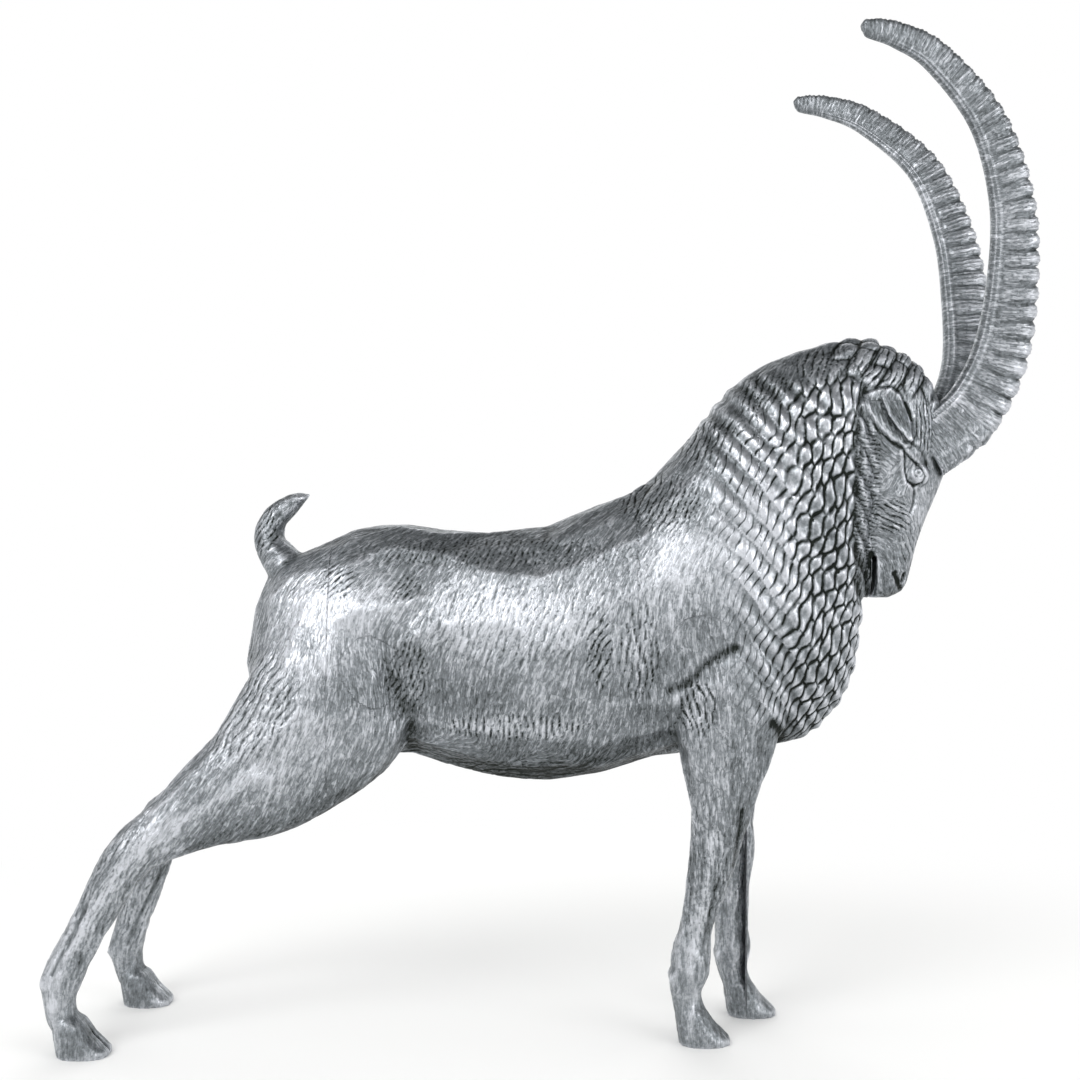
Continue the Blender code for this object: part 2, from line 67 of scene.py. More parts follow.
# Horn: centre x, y outwards, z, half depth, half width, before the turn of the head
HORN = [
    (170, 9.5, 259.3, 13.5, 9), (181, 10, 267.3, 13.4, 9), (192.5, 12.5, 280.3, 12.8, 8.8),
    (200.6, 19, 302.3, 12, 8.2), (202.3, 28, 332.3, 10.7, 7.3), (199.2, 35, 365.6, 9.2, 6.4),
    (186.4, 40.5, 398.3, 7.6, 5.4), (161.8, 48.5, 421.8, 6.2, 4.5), (143.8, 52.5, 429.4, 5.2, 4),
    (131, 54.6, 431.3, 3.8, 3.2), (128, 55, 431.3, 1.6, 1.4),
]
HORN_SQUARENESS = 2.7
HORN_BACK_TAPER = 0.34

# Way of the coat seen from the near side: x, z, angle up from +x in degrees
FLOW = [
    (-134, 232, 60), (-122, 215, 40), (-105, 218, 42), (-85, 214, 46), (-60, 214, 58), (-20, 213, 65),
    (20, 218, 66), (45, 224, 62), (-118, 190, 70), (-95, 180, 85), (-75, 165, 100), (-100, 150, 75),
    (-125, 160, 62), (-60, 190, 60), (-40, 180, 66), (-10, 180, 68), (20, 180, 72), (42, 175, 88),
    (-45, 150, 80), (-15, 140, 75), (20, 135, 75), (50, 140, 95), (-40, 118, 5), (0, 112, 3), (35, 108, 8),
    (-140, 125, 58), (-165, 100, 55), (-180, 70, 60), (-190, 40, 75), (-200, 18, 85), (-95, 115, 70),
    (-110, 130, 66), (70, 90, 92), (68, 50, 90), (70, 20, 88), (97, 90, 88), (97, 50, 90), (97, 20, 90),
    (62, 165, 96), (80, 150, 92), (100, 140, 88), (125, 165, 100), (150, 290, 60), (150, 272, 110),
    (141, 240, 160), (141, 215, 150), (153, 228, 155), (152, 245, 60), (168, 235, 115), (163, 215, 110),
    (168, 270, 88), (140, 205, 80), (152, 202, 100), (95, 240, 67), (110, 200, 67), (125, 260, 67),
    (137, 220, 168), (137, 232, 168), (137, 244, 165), (137, 256, 160), (145, 236, 165), (145, 250, 150),
]

# Darker patches, partly oxide and partly painted shade, as along the back, the belly and behind the elbow,
# with a painted shadow below the ear: x, z, reach in x, reach in z, how dark
PATCHES = [
    (-60, 214, 70, 8, 0.15), (10, 217, 50, 8, 0.15), (-60, 161, 11, 22, 0.25), (0, 114, 70, 11, 0.8),
    (102, 137, 9, 8, 0.9), (62, 146, 10, 22, 0.15), (-118, 225, 12, 14, 0.35), (50, 232, 20, 12, 0.4),
    (76, 258, 18, 12, 0.35), (102, 280, 18, 11, 0.3), (98, 118, 12, 20, 0.45), (-95, 100, 26, 18, 0.5),
    (139, 206, 6, 14, 0.7), (147, 261, 5, 5, 0.8), (150, 275, 9, 10, 0.2), (48, 162, 7, 18, 0.3),
    (135, 236, 3, 46, 0.5), (113, 168, 26, 26, 0.6), (123, 226, 15, 44, 0.75), (153, 204, 10, 13, 0.6),
    (75, 70, 18, 44, 0.25), (-40, 150, 30, 10, 0.3), (-150, 90, 16, 12, 0.35), (85, 100, 8, 26, 0.45),
    (153, 222, 7, 9, 0.35), (-88, 202, 9, 6, 0.5), (-59, 199, 6, 5, 0.5), (23, 172, 6, 18, 0.45),
    (-176, 62, 9, 18, 0.3), (92, 40, 8, 28, 0.25),
]
# Bright patches, in the same form: partly buffed metal and partly painted highlight, as the band along the
# flank and a painted glint in the eye
BRIGHT = [
    (-15, 187, 54, 17, 0.95), (-92, 192, 26, 18, 1.1), (-104, 168, 22, 18, 0.5), (-115, 132, 30, 22, 0.6),
    (-140, 142, 20, 18, 0.5), (56, 211, 24, 20, 0.85), (70, 118, 8, 20, 0.5), (86, 222, 20, 26, 0.35),
    (-60, 190, 16, 12, 0.5), (65, 150, 12, 12, 0.3), (166, 236, 8, 18, 0.5), (40, 190, 12, 20, 0.45),
    (-164, 92, 14, 16, 0.6), (-15, 139, 34, 5, 0.5), (161, 249, 4, 5, 0.5), (142, 240, 5, 24, 0.4),
]
# Lighter ridges down the legs, partly buffed metal and partly painted highlight: points x, z and half their
# width; the near side's and the far side's own
LEG_SHEEN_AND_WEAR = {
    -1: [
        ([(-124, 122), (-143, 106), (-161, 98), (-174, 89), (-186, 70), (-195, 57), (-206, 41), (-211, 31)],
         3.2),
        ([(-209, 24), (-208, 13), (-206, 4)], 2.6),
        ([(73, 92), (70, 76), (68, 62), (64, 44), (62, 33)], 2.2),
        ([(66, 24), (63, 14), (62, 3)], 1.6),
    ],
    1: [
        ([(-120, 118), (-140, 100), (-156, 92), (-166, 76), (-172, 60), (-180, 44)], 3),
        ([(-186, 30), (-184, 16), (-182, 4)], 2.4),
        ([(101, 90), (100, 70), (99, 52), (96, 40)], 2.2),
        ([(94, 28), (97, 16), (99, 4)], 1.6),
    ],
}

# Cut lines, as seen from the near side: points x, z, half width, depth and how dark
CUTS = [
    ([(139.5, 287), (136, 276.3), (134.7, 263.2), (134.2, 245.8), (133.8, 228.3), (134.7, 210.9),
      (136.5, 192)], 2, 0.7, 0.3),
    ([(144.6, 213.5), (144.6, 209), (145.3, 204.1), (146, 195)], 1.3, 0.5, 1),
    ([(155, 204.5), (156.4, 202), (158.1, 198.6)], 1.4, 1.1, 1),
    ([(162.2, 243.4), (163, 240.3), (163, 236), (161.6, 232)], 0.8, 0.5, 0.35),
    ([(157, 258.6), (154.6, 261.4), (152.5, 262.2)], 0.7, 0.5, 0.4),
    ([(157, 262.6), (161, 261.4), (165.6, 258), (168.6, 253)], 0.9, 0.35, 0.3),
    ([(158, 279.6), (159.6, 276.4), (160.6, 272.4)], 0.7, 0.5, 0.9),
    ([(54, 154.6), (61.7, 158), (68.1, 164.9), (75.4, 170.4), (81, 173.4)], 2.4, 0.9, 0.3),
    ([(98.5, 140.5), (102, 137), (104, 131)], 2.4, 1.2, 0.6),
    ([(-67.3, 176), (-64, 158), (-61, 142), (-58, 128)], 7, 1, 0.1),
    ([(85, 102), (84, 92), (82, 78)], 1.3, 0.6, 0.3),
    ([(74, 70), (71, 56), (68, 40)], 1.1, 0.5, 0.3),
    ([(-196, 62), (-203, 48), (-209, 36)], 1.2, 0.5, 0.3),
    ([(-178, 66), (-190, 44), (-196, 30)], 1.2, 0.5, 0.3),
]

# Near ear: the edge of its leaf, x and z
EAR_LEAF = [(138.7, 283.6), (140.5, 275.4), (145.3, 268.4), (149.6, 264.5), (154, 261), (157.5, 259.7),
            (160.5, 260.5), (160.9, 263.2), (160.5, 271.9), (157.9, 278.8), (155.7, 284.1), (151.4, 286.7),
            (144.8, 286.2), (138.7, 283.6)]
# Near eye: the edge of its lids and the middle of its pupil, x and z
LIDS = [(157.1, 258.3), (159.6, 255.7), (162.6, 253.7), (165.6, 251.3), (167.2, 247.6), (166.2, 244.9),
        (162.6, 243.4), (159.4, 245.6), (158, 250), (157.5, 254.5), (157.1, 258.3)]
PUPIL = (164.2, 249.3)

# Chased furrows by area: x, z, reach in x, reach in z, lean up from +x in degrees, pitch and depth
FURROWS = [
    (135, 240, 2.2, 46, 160, 1.6, 0.3), (141.5, 238, 6, 34, 168, 1.9, 0.4), (154, 230, 9, 8, 150, 2.1, 0.5),
    (167, 271, 5, 14, 86, 2, 0.5), (139.5, 204, 5, 12, 78, 2, 0.45), (151, 295, 21, 10, 58, 3, 0.8),
    (66, 147, 8, 12, 104, 2.9, 0.8), (23, 173, 6, 20, 58, 3, 0.5), (40, 172, 9, 22, 88, 2.7, 0.35),
    (-90, 202, 10, 8, 36, 2.2, 0.4), (-60, 199, 8, 6, 60, 2.2, 0.35), (-14, 184, 42, 20, 67, 3, 0.2),
    (-13, 139, 36, 6, 92, 2.7, 0.45), (-30, 115, 30, 7, 3, 2.4, 0.3), (-20, 214, 64, 7, 66, 2.2, 0.25),
    (-59, 160, 10, 20, 66, 2.4, 0.3), (-130, 150, 26, 26, 60, 3, 0.3), (-128, 226, 10, 14, 62, 2.2, 0.4),
    (164, 214, 8, 16, 112, 2.2, 0.2), (-185, 60, 22, 40, 66, 2.2, 0.16), (69, 70, 12, 40, 91, 2.1, 0.16),
    (98, 66, 12, 40, 90, 2.1, 0.16), (-196, 12, 16, 11, 100, 2.2, 0.1), (83, 12, 26, 11, 108, 2.2, 0.1),
    (50, 236, 18, 13, 62, 2.3, 0.45), (76, 260, 16, 13, 64, 2.3, 0.5), (100, 281, 16, 12, 66, 2.3, 0.5),
    (124, 293, 16, 12, 72, 2.5, 0.6),
]

# The mane's rows bend about this x, and by this much, and its strokes lean up by this angle
MANE_START_X = 68.2
MANE_BEND = 0.0045
MANE_LEAN = math.radians(67)
# Towards the face, from this x on, the strokes stand this share further apart
WIDER_FROM_X = 98
WIDER_SHARE = 0.12
# The top line of the neck, x and z, below which the rows begin
CREST = ((20, 226), (67, 267), (89, 285), (111, 301), (133, 307), (150, 309))
# By the face the strokes bound leaves. In pitches of the strokes: how far a stroke sways within its row, how
# much wider a leaf is in its middle, and how long it is
STROKE_SWAY = 0.08
LEAF_SWELL = 0.22
LEAF_LENGTH = 2.6
LEAVES_IN_ROW = 0.7
# The soles stay flat up to this height, and the carving reaches its full depth at the second one, mm
SOLE_PLAIN = 1
SOLE_CARVED = 3
# How far the mouth moves back from where the solid has it, mm
MOUTH_BACK = 2.4
# Where the body is divided along x, so that no piece has too many faces, and the edge of the head's piece
BODY_PIECES = ("hindquarters", "barrel", "shoulders", "mane")
SEAMS = (-94, 40, 92)
FACE_EDGE = ((187, 146), (192, 136.5), (211, 134.7), (228, 133.8), (246, 134.2), (263, 134.7), (276, 136),
             (287, 139.5), (300, 139.5))
FACE_LOWEST = 187
OVERLAP = 0.7
# Where the copy of the casting that the head is carved from is cut off, behind and below it, in metres
HEAD_CUTS = [((0.127, 0, 0), (-1, 0, 0)), ((0, 0, 0.18), (0, 0, -1))]
COAT_SEED = 7
HORN_RINGS = 480
HORN_SIDES = 84

# The stage, in mm: half the floor's side, and the radii between which the floor turns plain white
FLOOR_HALF = 6000
FLOOR_WHITE = (220, 500)
# Lamps: name, place, size and the setting that holds its power. They point at the middle of the figure
LAMPS = [
    ("key", (-600, -800, 800), 600, "key_power"), ("fill", (850, -750, 450), 700, "fill_power"),
    ("back", (0, 900, 700), 900, "fill_power"),
]
LAMP_TARGET = (0, 0, 200)
CAMERA_PLACE = (-2.4, -675, 219.6)
CAMERA_LENS = 50
CAMERA_FILM = 36


def linear(code):
    """Linear colour of an sRGB hex value."""
    parts = [int(code[i:i + 2], 16) / 255 for i in (1, 3, 5)]
    return tuple(c / 12.92 if c <= 0.04045 else ((c + 0.055) / 1.055) ** 2.4 for c in parts) + (1.0,)


def smooth_step(low, high, value):
    t = np.clip((value - low) / (high - low), 0.0, 1.0)
    return t * t * (3 - 2 * t)


def hump(value):
    return np.exp(-value * value)


def unit(vectors):
    return vectors / np.maximum(1e-9, np.linalg.norm(vectors, axis=-1, keepdims=True))


def turned(vectors, angle):
    """Vectors turned about the upright axis."""
    found = np.array(vectors, float)
    x, y = found[..., 0].copy(), found[..., 1].copy()
    found[..., 0] = x * math.cos(angle) - y * math.sin(angle)
    found[..., 1] = x * math.sin(angle) + y * math.cos(angle)
    return found


def placed(points):
    """Points of the straight head taken to the frame."""
    pivot = np.append(HEAD_PIVOT, 0.0)
    return (turned(points - pivot, HEAD_TURN) + pivot - SHIFT) * STRETCH


def straight(points):
    """Points of the frame taken to the straight head."""
    pivot = np.append(HEAD_PIVOT, 0.0)
    return turned(points / STRETCH + SHIFT - pivot, -HEAD_TURN) + pivot


def as_near(points):
    """Every point of the head as if it were on the near side, where the tables are measured."""
    found = straight(points)
    found[:, 1] = -np.abs(found[:, 1])
    return placed(found)


def curve_rows(rows, steps):
    """Rows of numbers along a smooth curve through the given rows, with this many steps a span."""
    rows = np.array(rows, float)
    last = len(rows) - 1
    found = []
    for i in range(last):
        a, b, c, d = (rows[max(0, min(last, i + k))] for k in (-1, 0, 1, 2))
        for step in range(steps):
            t = step / steps
            found.append(0.5 * (2 * b + (c - a) * t + (2 * a - 5 * b + 4 * c - d) * t**2
                                + (3 * b - a - 3 * c + d) * t**3))
    found.append(rows[-1])
    return np.array(found)


MAP_RANGE = "ShaderNodeMapRange"
SMOOTH = {"interpolation_type": "SMOOTHSTEP"}


def add(tree, kind, *values, named=None, **settings):
    """Adds a node with its settings, and its values and links by place or by name.

    A kind in capitals is a math node's operation.
    """
    if kind.isupper():
        kind, settings["operation"] = "ShaderNodeMath", kind
    made = tree.nodes.new(kind)
    for name, value in settings.items():
        setattr(made, name, value)
    for key, value in list(enumerate(values)) + list((named or {}).items()):
        if isinstance(value, bpy.types.Node):
            value = value.outputs[0]
        if isinstance(value, bpy.types.NodeSocket):
            tree.links.new(value, made.inputs[key])
        elif value is not None:
            made.inputs[key].default_value = value
    return made


def chain(tree, value, *steps):
    """A value taken through math nodes, each step an operation and what else it takes."""
    for operation, *others in steps:
        value = add(tree, operation, value, *others)
    return value


def new_object(name, mesh):
    made = bpy.data.objects.new(name, mesh)
    bpy.context.scene.collection.objects.link(made)
    return made


def evaluated(obj):
    graph = bpy.context.evaluated_depsgraph_get()
    return bpy.data.meshes.new_from_object(obj.evaluated_get(graph))


def mesh_from(name, points, faces):
    """A smooth-shaded mesh from points in mm and faces of three or four corners."""
    mesh = bpy.data.meshes.new(name)
    mesh.vertices.add(len(points))
    mesh.vertices.foreach_set("co", (np.asarray(points) * MM).astype(np.float32).ravel())
    sizes = np.array([len(f) for f in faces])
    corners = np.concatenate([np.ravel(f) for f in faces])
    mesh.loops.add(len(corners))
    mesh.loops.foreach_set("vertex_index", corners.astype(np.int32))
    mesh.polygons.add(len(sizes))
    mesh.polygons.foreach_set("loop_start", (np.cumsum(sizes) - sizes).astype(np.int32))
    mesh.update(calc_edges=True)
    mesh.shade_smooth()
    return mesh


def set_attribute(mesh, name, values):
    values = np.asarray(values, np.float32)
    kind, field = ("FLOAT_VECTOR", "vector") if values.ndim == 2 else ("FLOAT", "value")
    mesh.attributes.new(name, kind, "POINT").data.foreach_set(field, values.ravel())


class Surface:
    """Points and four-sided faces of a closed surface, with what smoothing and carving need."""

    def __init__(self, mesh, voxel):
        self.voxel = voxel
        self.points = np.empty(len(mesh.vertices) * 3, np.float32)
        mesh.vertices.foreach_get("co", self.points)
        self.points = self.points.reshape(-1, 3).astype(float) / MM
        corners = np.empty(len(mesh.loops), np.int32)
        mesh.loops.foreach_get("vertex_index", corners)
        starts = np.empty(len(mesh.polygons), np.int32)
        mesh.polygons.foreach_get("loop_start", starts)
        sizes = np.diff(np.append(starts, len(corners)))
        last = np.minimum(3, sizes - 1)
        self.faces = np.stack([corners[starts + np.minimum(k, last)] for k in range(4)], axis=1)
        count = len(self.points)
        ends = corners[starts.repeat(sizes) + (np.arange(len(corners)) - starts.repeat(sizes) + 1)
                       % sizes.repeat(sizes)]
        key = np.unique(np.concatenate([corners.astype(np.int64) * count + ends,
                                        ends.astype(np.int64) * count + corners]))
        self.beside = (key % count).astype(np.int32)
        owner = (key // count).astype(np.int32)
        self.starts = np.searchsorted(owner, np.arange(count))
        self.degree = np.bincount(owner, minlength=count)

    def passes(self, reach):
        """How many passes of smoothing reach this far, in mm."""
        return max(1, round((reach / self.voxel) ** 2))

    def mean(self, values):
        """Mean of the values at the points beside each point."""
        total = np.add.reduceat(values[self.beside], self.starts, axis=0)
        return total / (self.degree[:, None] if values.ndim == 2 else self.degree)

    def blurred(self, values, reach):
        for _ in range(self.passes(reach)):
            values = 0.5 * values + 0.5 * self.mean(values)
        return values

    def settle(self, share, reach):
        """Takes out flats without shrinking: each pass smooths, then swells back a little more."""
        weight = share[:, None]
        for _ in range(self.passes(reach)):
            for step in (0.6, -0.63):
                self.points = self.points + weight * step * (self.mean(self.points) - self.points)

    def melt(self, share, reach):
        """Plain smoothing of a few places, which lets steps there sink in."""
        weight = 0.5 * share[:, None]
        for _ in range(self.passes(reach)):
            self.points = self.points + weight * (self.mean(self.points) - self.points)

    def normals(self):
        a, b, c, d = (self.points[self.faces[:, k]] for k in range(4))
        across = np.cross(c - a, d - b)
        flat = np.zeros_like(self.points)
        for k in range(4):
            for axis in range(3):
                flat[:, axis] += np.bincount(self.faces[:, k], across[:, axis], len(flat))
        return unit(flat)


def blank_casting(voxel, head):
    """The casting without its horns as even small faces: all of it, or the head with a margin."""
    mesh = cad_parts[CASTING].data.copy()
    work = bmesh.new()
    work.from_mesh(mesh)
    bmesh.ops.remove_doubles(work, verts=work.verts, dist=1e-6)
    for point, out in [(Vector(HORN_CUT_POINT) * MM, HORN_CUT_OUT)] + (HEAD_CUTS if head else []):
        geometry = work.verts[:] + work.edges[:] + work.faces[:]
        bmesh.ops.bisect_plane(work, geom=geometry, plane_co=point, plane_no=Vector(out).normalized(),
                               clear_outer=True)
        bmesh.ops.holes_fill(work, edges=[e for e in work.edges if e.is_boundary])
    work.to_mesh(mesh)
    work.free()
    obj = new_object("blank", mesh)
    remesh = obj.modifiers.new("even", "REMESH")
    remesh.mode = "VOXEL"
    remesh.voxel_size = voxel * MM
    surface = Surface(evaluated(obj), voxel)
    bpy.data.objects.remove(obj)
    return surface


def flow_directions(points, normals):
    """Unit way of the coat at each point, along the surface."""
    near = np.array(FLOW, float)
    double = 2 * np.radians(near[:, 2])
    away = (points[:, None, 0] - near[None, :, 0]) ** 2 + (points[:, None, 2] - near[None, :, 1]) ** 2
    weight = 1.0 / (away + 30.0) ** 2
    angle = 0.5 * np.arctan2(weight @ np.sin(double), weight @ np.cos(double))
    way = np.stack([np.cos(angle), np.zeros(len(points)), np.sin(angle)], axis=1)
    way -= normals * np.sum(way * normals, axis=1)[:, None]
    short = np.linalg.norm(way, axis=1) < 0.35
    upright = np.array([0.0, 0.0, 1.0]) - normals * normals[:, 2:3]
    way[short] = upright[short]
    return unit(way)


def patches(table, x, z):
    total = np.zeros(len(x))
    for px, pz, wide, high, amount in table:
        total = np.maximum(total, amount * np.exp(-((x - px) / wide) ** 2 - ((z - pz) / high) ** 2))
    return total


def line_distance(points, x, z):
    """Distance from each x, z to a line through the given points."""
    nearest = np.full(len(x), 1e9)
    for (ax, az), (bx, bz) in zip(points, points[1:]):
        dx, dz = bx - ax, bz - az
        t = np.clip(((x - ax) * dx + (z - az) * dz) / (dx * dx + dz * dz), 0, 1)
        nearest = np.minimum(nearest, np.hypot(x - ax - t * dx, z - az - t * dz))
    return nearest


def wobble(x, z):
    """Uneven waves of about 15 to 45 mm."""
    waves = 0.5 * np.sin(x / 4.1 + z / 7.3) + 0.35 * np.sin(x / 2.7 - z / 3.9 + 1.7)
    return waves + 0.3 * np.sin(z / 2.3 + x / 5.9)


def mane_share(x, z):
    """How much of the mane each point has, which fades out behind, at the crest, the chest and the face."""
    rear = smooth_step(60.2, 88, x - 0.16 * (227 - z))
    crest = smooth_step(7, 19, np.interp(x, *zip(*CREST)) - z)
    chest = smooth_step(125, 147, z + 0.35 * (x - 98))
    face = 1 - smooth_step(-1.5, 0.5, x - np.interp(z, *zip(*FACE_EDGE))) * smooth_step(186, 190, z)
    return rear * crest * chest * face


def mane_grid(points, shape):
    """The number of the row of locks, and of the stroke in it, as values that run on at each point."""
    x, y, z = points.T
    forward = np.maximum(x - MANE_START_X, -40)
    sway = 1.6 * np.sin(z / 9.0 + y / 7.0) + 1.4 * np.sin(x / 6.5 - z / 14.0) + 1.2 * wobble(x, z)
    row = (z + forward + MANE_BEND * forward * forward + sway) / shape.row_pitch
    wider = x - WIDER_SHARE * np.maximum(x - WIDER_FROM_X, 0)
    stroke = wider * math.sin(MANE_LEAN) - z * math.cos(MANE_LEAN) + 0.35 * y + 1.5 * wobble(x * 0.7, z * 0.7)
    return row, stroke / shape.lock_pitch


def stroke_distance(row, stroke, near_face):
    """Distance to the nearest cut as a share of the strokes' pitch; by the face the strokes bound leaves."""
    number = np.floor(row)
    inside = row - number
    shuffle = number * GOLDEN - np.floor(number * GOLDEN)
    run = stroke + (1 - near_face) * (shuffle + STROKE_SWAY * np.sin(2 * math.pi * inside))
    column = np.floor(run)
    part = run - column
    leaf = LEAVES_IN_ROW * row
    weave = LEAF_SWELL * near_face * np.cos(2 * math.pi * leaf) * np.cos(math.pi * column)
    across = np.minimum(np.abs(part - weave), np.abs(1 - part - weave))
    end = leaf + 0.5 * column
    end = LEAF_LENGTH * np.abs(end - np.round(end))
    return np.minimum(across, end + 0.5 * (1 - near_face))


def carve_mane(row, stroke, share, near_face, shape):
    """Rows of locks cut by curved strokes, with a thin raised line between rows, and leaves by the face."""
    inside = row - np.floor(row)
    away = stroke_distance(row, stroke, near_face)
    edge = hump((inside - 0.06) / 0.07)
    pillow = smooth_step(0.0, 0.34, away) - 0.7
    rows = (1 - near_face) * (edge - 0.15) * shape.row_height
    return share * (rows + pillow * shape.lock_depth * (0.2 + near_face))


def carve_strokes(surface, normals, way, region, shape):
    """Short chased strokes along the coat, spread over the whole surface."""
    points = surface.points
    pick = np.random.default_rng(COAT_SEED)
    count = int(region.sum() * surface.voxel ** 2 / (shape.stroke_length * shape.stroke_spacing))
    centres = pick.choice(len(points), count, p=region / region.sum())
    lengths = shape.stroke_length * pick.uniform(0.6, 1.4, count)
    turns = pick.normal(0, 0.14, count)
    bends = pick.normal(0.0, 0.05, count)
    tree = kdtree.KDTree(len(points))
    for index, point in enumerate(points):
        tree.insert(point, index)
    tree.balance()
    cut = np.zeros(len(points))
    for centre, length, turn, bend in zip(centres, lengths, turns, bends):
        found = tree.find_range(points[centre], length / 2)
        index = np.array([item[1] for item in found])
        out = normals[centre]
        ahead = way[centre] * math.cos(turn) + np.cross(out, way[centre]) * math.sin(turn)
        step = points[index] - points[centre]
        u = step @ ahead / (length / 2)
        v = (step @ np.cross(out, ahead) - bend * (step @ ahead) ** 2) / (shape.stroke_width / 2)
        depth = hump(v) * np.clip(1 - u * u, 0, 1) * (normals[index] @ out > 0.4)
        cut[index] = np.maximum(cut[index], depth)
    return cut


def carve_furrows(x, z):
    """Areas of broken parallel furrows: how much they lift the surface and how dark they are."""
    lift, line = np.zeros(len(x)), np.zeros(len(x))
    waves = wobble(x, z)
    for fx, fz, wide, high, lean, pitch, depth in FURROWS:
        inside = ((x - fx) / wide) ** 2 + ((z - fz) / high) ** 2
        at = np.flatnonzero(inside < 1.35)
        share = 1 - smooth_step(0.5, 1.3, inside[at])
        lean = math.radians(lean)
        along = (x[at] - fx) * math.cos(lean) + (z[at] - fz) * math.sin(lean)
        across = ((z[at] - fz) * math.cos(lean) - (x[at] - fx) * math.sin(lean)) / pitch + 0.45 * waves[at]
        number = np.floor(across)
        broken = smooth_step(-0.75, 0.1, np.sin(2 * math.pi * (along / (pitch * 4.2) + number * GOLDEN)))
        groove = (1 - np.minimum(1, np.abs(np.sin(math.pi * (across - number))) / 0.75)) * broken * share
        lift[at] -= depth * groove
        line[at] = np.maximum(line[at], min(0.7, 2.2 * depth) * groove)
    return lift, line


def carve_curls(points, shape):
    """Round curls on the poll, in staggered rows."""
    x, y, z = points.T
    share = smooth_step(284, 292, z + 0.25 * (x - 140)) * smooth_step(118, 130, x)
    share *= 1 - smooth_step(168, 176, x)
    ring = (0.8 * x - 0.6 * z) / shape.curl_size
    side = y / shape.curl_size + 0.5 * (np.floor(ring) % 2)
    dome = (np.abs(np.sin(math.pi * ring)) * np.abs(np.sin(math.pi * side))) ** 0.6
    return share * (dome - 0.4) * shape.curl_height, share * 0.5 * smooth_step(0.45, 0.1, dome)


def carve_cuts(x, z):
    """Single cut lines, in the same two values."""
    lift, line = np.zeros(len(x)), np.zeros(len(x))
    for points, half, depth, dark in CUTS:
        low, high = np.min(points, axis=0) - 3 * half, np.max(points, axis=0) + 3 * half
        at = np.flatnonzero((x > low[0]) & (x < high[0]) & (z > low[1]) & (z < high[1]))
        groove = hump(line_distance(curve_rows(points, 4), x[at], z[at]) / half)
        lift[at] -= depth * groove
        line[at] = np.maximum(line[at], dark * groove)
    return lift, line


def outlined(outline, x, z):
    """Distance from each x, z to a closed outline, and whether it lies within."""
    within = np.zeros(len(x), bool)
    for (ax, az), (bx, bz) in zip(outline, outline[1:]):
        crossing = (az > z) != (bz > z)
        within ^= crossing & (x < ax + (z - az) * (bx - ax) / (bz - az if bz != az else 1e-9))
    return line_distance(outline, x, z), within


def carve_eye(x, z):
    """Lids that stand round the eyeball, an iris ring and a pupil, in the same two values."""
    lift, line = np.zeros(len(x)), np.zeros(len(x))
    at = np.flatnonzero((np.abs(x - 162) < 9) & (np.abs(z - 251) < 12))
    x, z = x[at], z[at]
    away, within = outlined(LIDS, x, z)
    round_pupil = np.hypot(x - PUPIL[0], z - PUPIL[1])
    ring = hump((round_pupil - 2.0) / 0.42) * within
    spot = hump(round_pupil / 0.8) * within
    edge = hump(away / 0.45)
    lift[at] = 0.4 * hump((away - 1.3) / 1.1) * ~within - 0.4 * edge - 0.2 * ring - 0.35 * spot
    line[at] = np.maximum(np.maximum(0.6 * edge, 0.4 * ring), 0.6 * spot)
    return lift, line


def within_ear(points):
    """How far inside the leaf of an ear each point is, seen from the side."""
    near = as_near(points)
    away, within = outlined(EAR_LEAF, near[:, 0], near[:, 2])
    return smooth_step(0.0, 1.5, away) * within


def carve_ear(points, normals):
    """The leaf of each ear stands off the head and is hollow in the middle: lift, line and tone.
    The line is a painted shadow on the head below the leaf's lower edge; the tone is painted shade in the
    hollow middle and a painted highlight on the lower rim.
    """
    near = as_near(points)
    x, z = near[:, 0], near[:, 2]
    sides = smooth_step(0.1, 0.4, np.abs(normals[:, 1]))
    away, within = outlined(EAR_LEAF, x, z)
    middle = line_distance(((147, 280), (154, 271), (158.5, 264)), x, z)
    raised = smooth_step(0.0, 1.3, away) * within
    below = smooth_step(-2, 2, (x - 138) * 0.66 - (z - 284) * 0.75 - 2) * hump((x - 150) / 12)
    outside = ~within * below
    lift = raised * (0.8 - 0.35 * hump(middle / 6)) - 0.4 * hump(away / 1.1) * outside
    # Painted shadow on the head below the leaf's lower, rear edge
    line = 0.3 * hump(away / 1.4) * outside
    # The lower rim of the leaf gets a painted highlight, and its hollow middle painted shade
    rim = hump((away - 1.6) / 1.6) * within
    return sides * lift, sides * line, sides * (0.35 * raised * hump(middle / 7) - 0.3 * rim * below)


